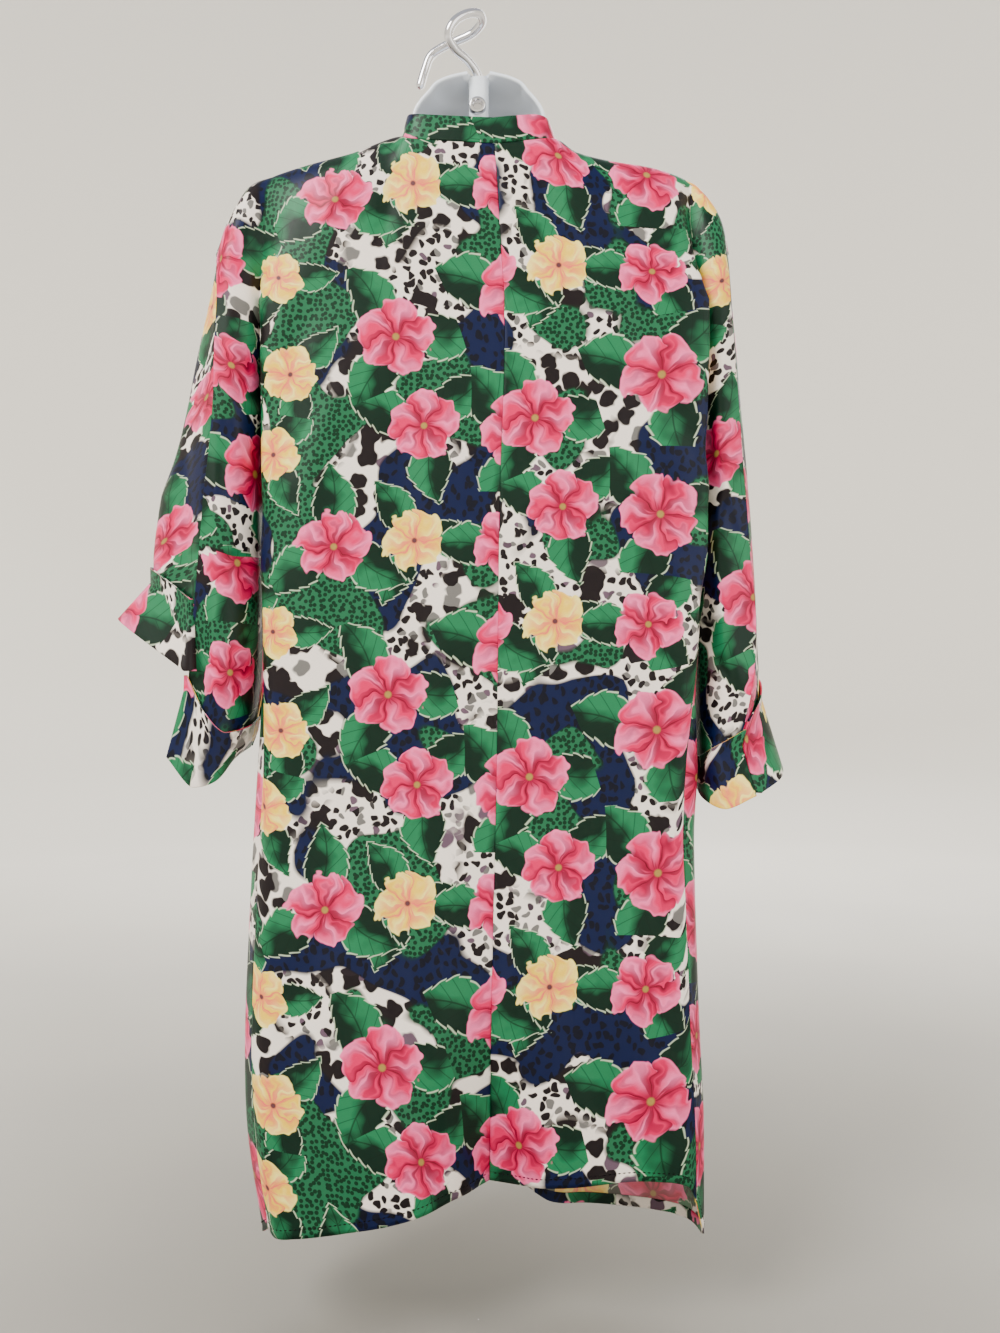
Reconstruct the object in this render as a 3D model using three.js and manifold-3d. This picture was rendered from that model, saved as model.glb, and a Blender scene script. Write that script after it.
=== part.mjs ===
// Kimono robe with short sleeves cut in one with the body, turned back cuffs and a
// narrow band round the neck and down both fronts. It hangs on a hollow backed
// limbless plastic form with a wire hook. Millimetres, +Z up, front towards -Y.
// The origin is the seat of the hook, where a rod carries it.
import * as THREE from 'three';
import { mergeVertices } from 'three/addons/utils/BufferGeometryUtils.js';
import Module from 'manifold-3d';

// Cloth
const CLOTH = 1.4;            // wall of one layer
const BAND_CLOTH = 2.4;       // wall of the doubled band and cuffs
const SEAM = 0.3;             // gap between two pieces at a seam
const TURNING_SEAM = 0.5;     // the same where the seam swings round the body or sleeve
const CUFF_LIFT = 0.8;        // air between a sleeve and its turned back cuff
const CUFF_LAP = 14;          // how far a sleeve runs on under its cuff
const BAND_WIDTH = 23;
const BAND_GAP = 0.9;         // band to the edge that it is sewn to
const BAND_BREAK = 0.02;      // share of the neckline left open at the band's seam
const YOKE_Z = -262;          // level where the shoulder region ends
const UNDERARM_Z = -440;
const SLIT_Z = -452;          // first level below the underarm
const SCALE_FROM_Z = -690;    // below this the levels follow the hem
const SHOULDER_POWER = 5;     // how squarely the cloth turns over the shoulder
const CORNER_POWER = 1.2;     // the same at the sleeve's corner
const SHOULDER_GATHER = 2.2;  // packs the rows of the shoulder close to its ridge

// Grid steps
const BODY_STEPS = 3;         // columns for each stretch of a body section
const SLEEVE_COLUMNS = 10;
const YOKE_ROWS = 5;
const LEVELS = [-290, -320, -350, -380, -410];
const SLEEVE_ROWS = 6;
const BODY_LEVELS = [-476, -500, -530, -570, -630, -690];
const LOWER_ROWS = 8;
const NECK_BAND_STEPS = 24;
const BAND_STEPS = { neck: 10, edge: 20 };
const BORE_SIDES = 16;
const SAME_POINT = 1e-4;      // points nearer than this are one

// Form
const FORM_WALL = 3.5;
const FORM_STEPS = 20;
const FORM_SQUARE = 0.7;      // below 1 the form's sections are fuller than an ellipse
const SHOULDER_MID_Y = -40;   // the form's shoulders fall away behind this line
const SHOULDER_FALL = 0.4;
const SHOULDER_TUCK = 10;      // and their outer ends stand this much further forward
const FORM_BACK_Y = -4;
const FORM_SHAPING = { from: -320, to: -200 };   // levels over which the shoulders take their form
const FORM_TUCK_X = { from: 125, to: 155 };
const FORM_FALL_X = { from: 66, to: 96 };
const BOSS = { radius: 9.3, y: -16, flatY: -11, top: -51, foot: -104 };
const NUT = { x: 1, z: -79, radius: 7.8, bore: 4.6, depth: 5, length: 9 };

// How the wall leans where it turns over the ridge, growing round the sleeve's corner
const RIDGE_LEAN = { centre: 0.3, from: 190, over: 60, corner: 1.6, back: 0.9, up: 0.7 };
const BESIDE = 0.02;          // share of a section used to find its direction at a seam

// Hook
const WIRE = 8;
const STEM_FOOT = -84;
const STEM_CLEAR = 0.6;

// Ridge of each side: neckline, shoulder and outer corner, from the centre outwards.
// at runs 0 to 1 over the body part and 1 to 2 over the sleeve part.
const BACK_RIDGE = {
  left: [
    { at: 0, x: -15, y: 8, z: -120 },
    { at: 0.16, x: 38, y: 7, z: -117 },
    { at: 0.24, x: 63, y: 3.5, z: -114 },
    { at: 0.31, x: 71, y: -10, z: -109 },
    { at: 0.4, x: 76, y: -42, z: -103 },
    { at: 0.6, x: 115, y: -43, z: -117 },
    { at: 0.8, x: 161, y: -44, z: -128 },
    { at: 1, x: 196, y: -44, z: -137 },
    { at: 1.25, x: 217, y: -41, z: -147 },
    { at: 1.5, x: 232, y: -35, z: -171 },
    { at: 1.75, x: 241, y: -24, z: -192 },
    { at: 2, x: 246, y: -9, z: -218 },
  ],
  right: [
    { at: 0, x: 15, y: 8, z: -120 },
    { at: 0.16, x: 42, y: 7, z: -117 },
    { at: 0.24, x: 63, y: 3.5, z: -114 },
    { at: 0.31, x: 71, y: -10, z: -111 },
    { at: 0.4, x: 74, y: -42, z: -106 },
    { at: 0.46, x: 87, y: -42.5, z: -116 },
    { at: 0.6, x: 116, y: -43, z: -124 },
    { at: 0.8, x: 164, y: -44, z: -131 },
    { at: 1, x: 199, y: -44, z: -139 },
    { at: 1.25, x: 213, y: -42, z: -150 },
    { at: 1.5, x: 225, y: -38, z: -166 },
    { at: 1.75, x: 233, y: -31, z: -186 },
    { at: 2, x: 236, y: -20, z: -214 },
  ],
};
// The front's neckline, which replaces the ridge as far as the shoulder point.
const FRONT_NECK = [
  { at: 0, x: 45, y: -110, z: -236 },
  { at: 0.12, x: 52, y: -101, z: -198 },
  { at: 0.24, x: 62, y: -86, z: -158 },
  { at: 0.33, x: 72, y: -64, z: -124 },
];
const NECK_POINT = 0.4;       // place of the shoulder's neck end on both halves

// Height of the neck band, from its right end, where it rolls over, to its left end
const BAND_RISE = [
  { s: -1, rise: 12 }, { s: -0.85, rise: 15 }, { s: -0.7, rise: 18.5 }, { s: -0.5, rise: 22 },
  { s: 0, rise: 23 }, { s: 1, rise: 21 },
];
const BAND_LEAN = 0.08;       // share by which its top is narrower than its seam
const BAND_SAG = 2;           // how far its top leans forwards at the middle

// Way the front bands stand off their edge: sideways at the hem, upright at the neck
const BAND_WAY = {
  low: { x: 1, y: -0.12, z: 0.12 }, high: { x: 0.5, y: 0, z: 0.95 }, edge: { x: 1, y: -0.1 }, turn: 1.2,
};
const BAND_END_RISE = 0.7;    // slope of the hem across the bands

// Centre back seam, x towards +X, with the deep soft fold near the hem
const CENTRE = [
  { z: -262, x: -24, y: 9 }, { z: -320, x: -24, y: 10 }, { z: -440, x: -20, y: 12 },
  { z: -600, x: -18, y: 17 }, { z: -690, x: -17, y: 22 }, { z: -830, x: -14, y: 33 },
  { z: -930, x: -12, y: 37 }, { z: -1020, x: -11, y: 26 }, { z: -1110, x: -10, y: 12 },
];

// Places of the extra controls of a body section, as shares of the way to the next one
const BACK_SPREAD = { inner: 0.33, outer: 0.68, fold: 0.92, foldDepth: 0.3 };
const FRONT_SPREAD = { between: 0.5, lift: 2 };

// Body sections, a row for each level, x outwards from the centre.
// fold is the edge of the flat back, end the valley beside the sleeve and, below the
// underarm, the side seam; turn, side, chest and edge lead round to the front edge.
const BODY_COLUMNS = [
  'z', 'back', 'foldX', 'foldY', 'endX', 'endBack', 'endFront', 'turnX', 'turnY', 'sideX', 'sideY',
  'chestX', 'chestY', 'edgeX', 'edgeY',
];
const BODY_TABLE = {
  left: [
    [-262, 9, 200, 2, 206, -8, -76, 198, -92, 170, -108, 92, -120, 36, -114],
    [-310, 10, 202, 0, 206, -20, -72, 198, -88, 173, -110, 94, -129, 35, -119],
    [-356, 10, 202, -2, 205, -30, -64, 198, -82, 176, -110, 94, -131, 34, -120],
    [-405, 11, 202, -4, 205, -37, -54, 199, -72, 178, -106, 94, -130, 34, -119],
    [-440, 12, 202, -6, 205, -41.5, -46.5, 199, -66, 181, -102, 94, -129, 34, -118],
    [-452, 12, 202, -8, 201, -44, -44, 197, -64, 181, -100, 94, -128, 34, -118],
    [-500, 13, 203, -4, 202, -30, -30, 198, -54, 184, -96, 94, -127, 35, -116],
    [-560, 16, 198, 7, 202, -8, -8, 201, -30, 190, -84, 96, -125, 36, -114],
    [-690, 24, 188, 20, 198, 13, 13, 206, -6, 192, -80, 98, -122, 38, -113],
    [-760, 32, 189, 28, 200, 20, 20, 209, 0, 195, -78, 100, -120, 40, -111],
    [-830, 42, 191, 38, 202, 29, 29, 211, 8, 198, -74, 102, -117, 42, -109],
    [-930, 56, 192, 52, 203, 42, 42, 213, 18, 200, -68, 104, -104, 46, -97],
    [-1020, 66, 188, 62, 198, 50, 50, 210, 24, 202, -52, 106, -90, 50, -84],
    [-1110, 72, 174, 66, 184, 54, 54, 196, 26, 194, -38, 106, -74, 54, -68],
  ],
  right: [
    [-262, 9, 214, 3, 203, -16, -80, 195, -94, 168, -109, 92, -120, 36, -114],
    [-310, 10, 215, 3, 202, -26, -76, 194, -90, 170, -110, 94, -129, 35, -119],
    [-356, 10, 215, 3, 201, -34, -70, 193, -86, 173, -110, 94, -131, 34, -120],
    [-405, 11, 214, 3, 200, -42, -60, 193, -78, 175, -106, 94, -130, 34, -119],
    [-440, 12, 214, 3, 200, -45.5, -50.5, 193, -70, 178, -102, 94, -129, 34, -118],
    [-452, 12, 213, 3, 195, -48, -48, 191, -68, 178, -100, 94, -128, 34, -118],
    [-500, 13, 212, 4, 200, -30, -30, 192, -54, 182, -96, 94, -127, 35, -116],
    [-560, 16, 200, 12, 206, 1, 1, 200, -18, 188, -78, 96, -125, 36, -114],
    [-690, 23, 181, 23, 191, 20, 20, 202, 8, 189, -76, 98, -122, 38, -113],
    [-760, 28, 176, 28, 187, 25, 25, 198, 12, 191, -76, 100, -120, 40, -111],
    [-830, 35, 178, 34, 189, 31, 31, 199, 16, 193, -73, 102, -117, 42, -109],
    [-930, 44, 182, 42, 192, 38, 38, 202, 20, 196, -68, 104, -104, 46, -97],
    [-1020, 48, 186, 46, 196, 41, 41, 206, 22, 198, -52, 106, -90, 50, -84],
    [-1110, 50, 188, 48, 197, 42, 42, 206, 22, 197, -40, 106, -74, 54, -68],
  ],
};

// Sleeve sections, a row for each level. in and back lie on the back half, over is the
// overarm seam, out, front and inner lead round the front half, under is its own seam.
const SLEEVE_COLUMN_NAMES = [
  'z', 'inX', 'inY', 'backX', 'backY', 'overX', 'overY', 'outX', 'outY', 'frontX', 'frontY',
  'innerX', 'innerY', 'underX', 'underY',
];
const SLEEVE_TABLE = {
  left: [
    [-262, 212, 2, 227, 8, 243, 5, 258, -32, 232, -84, 213, -86, 209, -44],
    [-310, 211, -6, 226, 8, 245, 7, 270, -34, 238, -88, 215, -84, 209, -44],
    [-356, 211, -12, 226, 8, 246, 8, 281, -36, 244, -92, 215, -82, 209, -44],
    [-405, 211, -16, 227, 8, 250, 8, 293, -38, 250, -95, 215, -80, 209, -44],
    [-440, 211, -20, 228, 8, 254, 9, 306, -40, 254, -97, 216, -78, 209, -44],
    [-452, 211, -20, 228, 8, 255, 9, 308, -40, 255, -97, 216, -78, 209.5, -44],
    [-500, 211, -16, 230, 9, 259, 9, 314, -42, 258, -99, 216, -82, 208, -46],
    [-560, 211, -13, 232, 11, 264, 10, 312, -44, 260, -100, 218, -84, 209, -46],
    [-620, 214, -10, 236, 15, 268, 11, 303, -44, 262, -98, 220, -82, 211, -45],
    [-700, 224, -6, 242, 18, 274, 10, 296, -40, 262, -92, 228, -78, 222, -43],
  ],
  right: [
    [-262, 211, -8, 224, -3, 237, -8, 242, -38, 228, -84, 211, -88, 205, -48],
    [-310, 212, -16, 226, -7, 242, -13, 248, -42, 232, -89, 211, -88, 205, -48],
    [-356, 212, -22, 228, -10, 246, -16, 252, -44, 234, -92, 211, -87, 205, -48],
    [-405, 211, -27, 229, -11, 250, -18, 257, -46, 236, -95, 210, -84, 205, -48],
    [-440, 211, -31, 230, -11, 253, -18, 260, -48, 238, -97, 210, -82, 205, -48],
    [-452, 212, -31, 230, -11, 254, -18, 261, -48, 238, -97, 211, -82, 205, -48],
    [-500, 213, -28, 231, -10, 257, -16, 264, -48, 240, -98, 212, -86, 205, -52],
    [-560, 213, -24, 232, -8, 262, -14, 267, -46, 242, -98, 213, -87, 205, -52],
    [-620, 213, -20, 230, -4, 256, -2, 269, -44, 244, -96, 215, -86, 206, -51],
    [-700, 212, -16, 219, 3, 236, 6, 266, -38, 244, -92, 217, -82, 207, -49],
  ],
};

// Turned back cuffs, one table for each half. top is the level of the free edge on the
// sleeve, foot the folded lower edge. at runs as on the sleeve half that it covers.
const CUFFS = {
  left_back: [
    { at: 0, top: -652, footX: 220, footY: -42, footZ: -680 },
    { at: 0.33, top: -660, footX: 227, footY: -2, footZ: -689 },
    { at: 0.6, top: -664, footX: 239, footY: 20, footZ: -707 },
    { at: 0.8, top: -645, footX: 259, footY: 29, footZ: -712 },
    { at: 1, top: -611, footX: 284, footY: 24, footZ: -684 },
  ],
  left_front: [
    { at: 0, top: -542, footX: 267, footY: 24, footZ: -607 },
    { at: 0.25, top: -508, footX: 347, footY: -38, footZ: -556 },
    { at: 0.5, top: -540, footX: 290, footY: -124, footZ: -592 },
    { at: 0.75, top: -600, footX: 234, footY: -108, footZ: -650 },
    { at: 1, top: -652, footX: 220, footY: -50, footZ: -680 },
  ],
  right_back: [
    { at: 0, top: -690, footX: 206, footY: -46, footZ: -708 },
    { at: 0.33, top: -687, footX: 209, footY: -10, footZ: -725 },
    { at: 0.66, top: -677, footX: 226, footY: 16, footZ: -733 },
    { at: 1, top: -662, footX: 254, footY: 22, footZ: -720 },
  ],
  right_front: [
    { at: 0, top: -655, footX: 258, footY: 21, footZ: -718 },
    { at: 0.14, top: -634, footX: 282, footY: 2, footZ: -704 },
    { at: 0.3, top: -614, footX: 288, footY: -44, footZ: -692 },
    { at: 0.5, top: -640, footX: 262, footY: -112, footZ: -700 },
    { at: 0.75, top: -672, footX: 224, footY: -102, footZ: -709 },
    { at: 1, top: -690, footX: 206, footY: -53, footZ: -708 },
  ],
};
const CUFF_ROWS = 4;
const CUFF_INSET = 0.012;     // keeps the two halves of a cuff apart at the underarm

// Hem levels by distance from the centre back or from the front edge
const HEM = {
  left_back: [
    { at: 0, z: -1073 }, { at: 0.2, z: -1084 }, { at: 0.45, z: -1099 }, { at: 0.85, z: -1104 },
    { at: 1, z: -1100 },
  ],
  right_back: [
    { at: 0, z: -1073 }, { at: 0.2, z: -1067 }, { at: 0.5, z: -1061 }, { at: 0.8, z: -1066 },
    { at: 0.92, z: -1074 }, { at: 1, z: -1082 },
  ],
  left_front: [{ at: 0, z: -1130 }, { at: 0.3, z: -1130 }, { at: 0.75, z: -1118 }, { at: 1, z: -1100 }],
  right_front: [
    { at: 0, z: -1121 }, { at: 0.12, z: -1131 }, { at: 0.3, z: -1134 }, { at: 0.7, z: -1129 },
    { at: 0.88, z: -1108 }, { at: 1, z: -1082 },
  ],
};

// Form sections, a row for each level: half width and depth in front of its back plane
const FORM = [
  { z: -51, half: 10, depth: 9 }, { z: -55, half: 27, depth: 24 }, { z: -60, half: 38, depth: 33 },
  { z: -67, half: 44, depth: 39 }, { z: -76, half: 52, depth: 46 }, { z: -84, half: 57, depth: 50 },
  { z: -96, half: 60, depth: 55 }, { z: -112, half: 62, depth: 56 }, { z: -119, half: 90, depth: 57 },
  { z: -124, half: 112, depth: 59 }, { z: -127, half: 133, depth: 60 }, { z: -132.6, half: 158, depth: 61 },
  { z: -137, half: 176, depth: 62 }, { z: -142, half: 182, depth: 66 }, { z: -160, half: 185, depth: 75 },
  { z: -182, half: 185, depth: 81 }, { z: -215, half: 185, depth: 88 }, { z: -262, half: 181, depth: 97 },
  { z: -310, half: 177, depth: 105 }, { z: -356, half: 172, depth: 106 }, { z: -405, half: 162, depth: 100 },
  { z: -470, half: 150, depth: 92 }, { z: -540, half: 158, depth: 94 }, { z: -610, half: 172, depth: 98 },
  { z: -680, half: 178, depth: 100 }, { z: -740, half: 178, depth: 98 },
];

// Middle line of the hook's wire, from the foot of its stem to its tip
const HOOK_PATH = [
  { x: 0, y: BOSS.y, z: STEM_FOOT }, { x: 0, y: BOSS.y, z: -68 }, { x: 0, y: BOSS.y, z: -51 },
  { x: 2.5, y: -13, z: -44 }, { x: 11, y: -5, z: -36.5 }, { x: 22, y: 5, z: -31 },
  { x: 27.5, y: 12, z: -23 }, { x: 23, y: 14, z: -12 }, { x: 12, y: 9, z: -1.5 },
  { x: 0, y: 0, z: WIRE / 2 }, { x: -3, y: -11, z: 2.5 }, { x: 5, y: -20, z: -3 },
  { x: 20, y: -25, z: -8 }, { x: 34, y: -27, z: -13 }, { x: 46, y: -28, z: -21 },
  { x: 51.5, y: -28, z: -34 }, { x: 56, y: -28, z: -49 },
];
const HOOK_STEPS = 54;
const WIRE_SIDES = 10;

const SIDES = { left: 1, right: -1 };

function named(columns, rows) {
  return rows.map((row) => Object.fromEntries(columns.map((name, i) => [name, row[i]])));
}

const BODY = {
  left: named(BODY_COLUMNS, BODY_TABLE.left),
  right: named(BODY_COLUMNS, BODY_TABLE.right),
};
const SLEEVE = {
  left: named(SLEEVE_COLUMN_NAMES, SLEEVE_TABLE.left),
  right: named(SLEEVE_COLUMN_NAMES, SLEEVE_TABLE.right),
};

// Small helpers
function lerp(a, b, t) {
  return a + (b - a) * t;
}

// How far a value has come from one level to the next, 0 to 1
function share(value, from, to) {
  return Math.min(Math.max((value - from) / (to - from), 0), 1);
}

function slope(rows, axis, key, i) {
  const a = rows[Math.max(i - 1, 0)];
  const b = rows[Math.min(i + 1, rows.length - 1)];
  return (b[key] - a[key]) / (b[axis] - a[axis]);
}

// Value of one column of a table at a place along its axis, on a smooth curve
function column(rows, axis, key, value) {
  const rising = rows[rows.length - 1][axis] > rows[0][axis];
  const past = (row) => (rising ? row[axis] >= value : row[axis] <= value);
  let i = rows.findIndex(past);
  if (i < 0) i = rows.length - 1;
  if (i === 0) i = 1;
  const a = rows[i - 1];
  const b = rows[i];
  const span = b[axis] - a[axis];
  const t = Math.min(Math.max((value - a[axis]) / span, 0), 1);
  const step = b[key] - a[key];
  const way = Math.sign(step);
  const limit = (m) => way * Math.min(Math.max(m * span * way, 0), 3 * Math.abs(step));
  const m0 = limit(slope(rows, axis, key, i - 1));
  const m1 = limit(slope(rows, axis, key, i));
  const t2 = t * t;
  const t3 = t2 * t;
  const start = a[key] * (2 * t3 - 3 * t2 + 1) + m0 * (t3 - 2 * t2 + t);
  return start + b[key] * (3 * t2 - 2 * t3) + m1 * (t3 - t2);
}

function rowAt(rows, axis, value) {
  const row = {};
  for (const key of Object.keys(rows[0])) row[key] = key === axis ? value : column(rows, axis, key, value);
  return row;
}

// Point at t, 0 to 1, on the curve through a section's control points
function along(controls, t) {
  const curve = new THREE.CatmullRomCurve3(controls, false, 'centripetal');
  return curve.getPoint(Math.min(Math.max(t, 0), 1));
}

function flat(x, y) {
  return new THREE.Vector3(x, y, 0);
}

// Controls of the four stretches of one side's section at level z, x outwards
function sectionControls(side, z) {
  const body = rowAt(BODY[side], 'z', z);
  const sleeve = rowAt(SLEEVE[side], 'z', z);
  const centreX = column(CENTRE, 'z', 'x', z) * SIDES[side];
  const centreY = column(CENTRE, 'z', 'y', z);
  const joined = z >= UNDERARM_Z;
  const backEnd = joined ? flat(body.endX, body.endBack) : flat(sleeve.underX, sleeve.underY);
  const frontEnd = joined ? flat(body.endX, body.endFront) : flat(sleeve.underX, sleeve.underY);
  return {
    bodyBack: [
      flat(centreX, centreY), flat(lerp(centreX, body.foldX, BACK_SPREAD.inner), body.back),
      flat(lerp(centreX, body.foldX, BACK_SPREAD.outer), body.back),
      flat(body.foldX * BACK_SPREAD.fold, lerp(body.back, body.foldY, BACK_SPREAD.foldDepth)),
      flat(body.foldX, body.foldY), flat(body.endX, body.endBack),
    ],
    bodyFront: [
      flat(body.edgeX, body.edgeY),
      flat(lerp(body.edgeX, body.chestX, FRONT_SPREAD.between), body.chestY + FRONT_SPREAD.lift),
      flat(body.chestX, body.chestY), flat(body.sideX, body.sideY), flat(body.turnX, body.turnY),
      flat(body.endX, joined ? body.endFront : body.endBack),
    ],
    sleeveBack: [
      backEnd, flat(sleeve.inX, sleeve.inY), flat(sleeve.backX, sleeve.backY),
      flat(sleeve.overX, sleeve.overY),
    ],
    sleeveFront: [
      flat(sleeve.overX, sleeve.overY), flat(sleeve.outX, sleeve.outY),
      flat(sleeve.frontX, sleeve.frontY), flat(sleeve.innerX, sleeve.innerY), frontEnd,
    ],
  };
}

// Point of one stretch at a level, in the part's frame
function levelPoint(side, stretch, t, z) {
  const p = along(sectionControls(side, z)[stretch], t);
  return new THREE.Vector3(p.x * SIDES[side], p.y, z);
}

// The front's neckline ends at the shoulder's neck end, where the ridge takes over
function frontNeck(side) {
  return [...FRONT_NECK, BACK_RIDGE[side].find((row) => row.at === NECK_POINT)];
}

function ridgePoint(side, half, at) {
  const table = half === 'front' && at < NECK_POINT - 1e-6 ? frontNeck(side) : BACK_RIDGE[side];
  const row = rowAt(table, 'at', at);
  return new THREE.Vector3(row.x * SIDES[side], row.y, row.z);
}

// Point between the ridge and the top level, t from 0 on the ridge to 1
function shoulderPoint(ridge, foot, t, power) {
  const round = (1 - (1 - t) ** power) ** (1 / power);
  return new THREE.Vector3(lerp(ridge.x, foot.x, t), lerp(ridge.y, foot.y, round), lerp(ridge.z, foot.z, t));
}

// A half of the robe as outer points on a grid: body columns by rows, then the sleeve's
class HalfPanel {
  constructor(side, half) {
    this.side = side;
    this.half = half;
    this.cuff = CUFFS[`${side}_${half}`];
    this.hem = HEM[`${side}_${half}`];
    this.bodyStretch = half === 'back' ? 'bodyBack' : 'bodyFront';
    this.sleeveStretch = half === 'back' ? 'sleeveBack' : 'sleeveFront';
    this.bodyColumns = 5 * BODY_STEPS;
    this.sleeveColumns = SLEEVE_COLUMNS;
    this.points = [];
    this.quads = [];
    this.normals = new Map();
  }

  // Sleeve places run from the valley or underarm seam on the back half, and the other
  // way round on the front half, so both halves count outwards from the body
  sleevePlace(k) {
    const t = k / this.sleeveColumns;
    return this.half === 'back' ? t : 1 - t;
  }

  yokePoint(stretch, place, ridgeAt, t) {
    const foot = levelPoint(this.side, stretch, place, YOKE_Z);
    const power = lerp(SHOULDER_POWER, CORNER_POWER, Math.min(Math.max(ridgeAt - 1, 0), 1));
    return shoulderPoint(ridgePoint(this.side, this.half, ridgeAt), foot, t, power);
  }

  cuffTop(place) {
    return column(this.cuff, 'at', 'top', place);
  }

  add(point) {
    this.points.push(point);
    return this.points.length - 1;
  }

  build() {
    const upper = [];
    for (let j = 0; j < YOKE_ROWS; j += 1) upper.push({ t: (j / YOKE_ROWS) ** SHOULDER_GATHER });
    [YOKE_Z, ...LEVELS, UNDERARM_Z].forEach((z) => upper.push({ z }));
    const body = [];
    for (let i = 0; i <= this.bodyColumns; i += 1) body.push(this.bodyColumn(i / this.bodyColumns, upper));
    const joined = upper.length;
    const sleeve = [body[this.bodyColumns].slice(0, joined)];
    this.underarmColumn(sleeve[0]);
    for (let k = 1; k <= this.sleeveColumns; k += 1) sleeve.push(this.sleeveColumn(k, upper));
    this.knit(body);
    this.knit(sleeve);
    this.seamNormals(body, sleeve, joined);
    return this;
  }

  bodyColumn(place, upper) {
    const ids = upper.map((row) => this.add(row.z === undefined
      ? this.yokePoint(this.bodyStretch, place, place, row.t)
      : levelPoint(this.side, this.bodyStretch, place, row.z)));
    for (const z of [SLIT_Z, ...BODY_LEVELS]) {
      ids.push(this.add(levelPoint(this.side, this.bodyStretch, place, z)));
    }
    const hemZ = column(this.hem, 'at', 'z', place);
    for (let j = 1; j <= LOWER_ROWS; j += 1) {
      const z = lerp(SCALE_FROM_Z, hemZ, j / LOWER_ROWS);
      ids.push(this.add(levelPoint(this.side, this.bodyStretch, place, z)));
    }
    return ids;
  }

  sleeveRows(place, ids, stretch) {
    const end = this.cuffTop(place) - CUFF_LAP;
    ids.push(this.add(levelPoint(this.side, stretch, place, SLIT_Z)));
    for (let j = 1; j <= SLEEVE_ROWS; j += 1) {
      ids.push(this.add(levelPoint(this.side, stretch, place, lerp(SLIT_Z, end, j / SLEEVE_ROWS))));
    }
    return ids;
  }

  underarmColumn(ids) {
    this.sleeveRows(this.sleevePlace(0), ids, this.sleeveStretch);
  }

  sleeveColumn(k, upper) {
    const place = this.sleevePlace(k);
    const ridgeAt = 1 + k / this.sleeveColumns;
    const ids = upper.map((row) => this.add(row.z === undefined
      ? this.yokePoint(this.sleeveStretch, place, ridgeAt, row.t)
      : levelPoint(this.side, this.sleeveStretch, place, row.z)));
    return this.sleeveRows(place, ids, this.sleeveStretch);
  }

  // Quads between neighbouring columns, facing out
  knit(columns) {
    const outward = (SIDES[this.side] > 0) === (this.half === 'back');
    for (let i = 0; i + 1 < columns.length; i += 1) {
      const rows = Math.min(columns[i].length, columns[i + 1].length);
      for (let j = 0; j + 1 < rows; j += 1) {
        const quad = [columns[i][j], columns[i][j + 1], columns[i + 1][j + 1], columns[i + 1][j]];
        this.quads.push(outward ? quad.reverse() : quad);
      }
    }
  }

  // Both pieces of a seam share their normals there, and each stops half a gap short
  seamNormals(body, sleeve, joined) {
    const sign = SIDES[this.side];
    const across = (ids, from, gap, normalOf) => ids.forEach((id, j) => {
      const p = this.points[id];
      const step = this.points[from[Math.min(j, from.length - 1)]].clone().sub(p).setLength(gap / 2);
      this.normals.set(id, normalOf(p, j));
      p.add(step);
    });
    const inward = (other) => (p) => this.seamNormal(p, other);
    if (this.half === 'back') {
      const onRidge = new THREE.Vector3(0, RIDGE_LEAN.centre, 1).normalize();
      const onBack = new THREE.Vector3(0, 1, 0);
      across(body[0], body[1], SEAM, (p, j) => (j < 3 ? onRidge : onBack).clone());
    }
    const below = (ids) => ids.slice(joined);
    const last = body.length - 1;
    across(below(body[last]), below(body[last - 1]), TURNING_SEAM, inward('side'));
    across(below(sleeve[0]), below(sleeve[1]), SEAM, inward('under'));
    const outer = sleeve.length - 1;
    const outerSeam = sleeve[outer].slice(YOKE_ROWS);
    across(outerSeam, sleeve[outer - 1].slice(YOKE_ROWS), TURNING_SEAM, inward('over'));
    const ridge = [...body, ...sleeve.slice(1)].map((ids) => ids[0]);
    ridge.forEach((id) => {
      const p = this.points[id];
      p.y += (this.half === 'back' ? SEAM : -SEAM) / 2;
      const corner = share(Math.abs(p.x), RIDGE_LEAN.from, RIDGE_LEAN.from + RIDGE_LEAN.over);
      this.normals.set(id, new THREE.Vector3(sign * corner * RIDGE_LEAN.corner, 0, 1).normalize());
    });
    this.overarmCorner(sleeve[outer]);
  }

  // The overarm seam between the shoulder's corner and the top level
  overarmCorner(ids) {
    for (let j = 1; j < YOKE_ROWS; j += 1) {
      const t = j / YOKE_ROWS;
      const p = this.points[ids[j]];
      p.y += (this.half === 'back' ? SEAM : -SEAM) / 2;
      const lean = new THREE.Vector3(SIDES[this.side], t * RIDGE_LEAN.back, RIDGE_LEAN.up * (1 - t));
      this.normals.set(ids[j], lean.normalize());
    }
  }

  // Normal that both pieces of a seam share, from their points on its two sides
  seamNormal(p, seam) {
    const pairs = {
      side: [['bodyBack', 1 - BESIDE], ['bodyFront', 1 - BESIDE]],
      under: [['sleeveFront', 1 - BESIDE], ['sleeveBack', BESIDE]],
      over: [['sleeveBack', 1 - BESIDE], ['sleeveFront', BESIDE]],
    };
    const [a, b] = pairs[seam].map(([stretch, t]) => levelPoint(this.side, stretch, t, p.z));
    const tangent = b.sub(a);
    return new THREE.Vector3(tangent.y, -tangent.x, 0).multiplyScalar(-SIDES[this.side]).normalize();
  }
}

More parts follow.
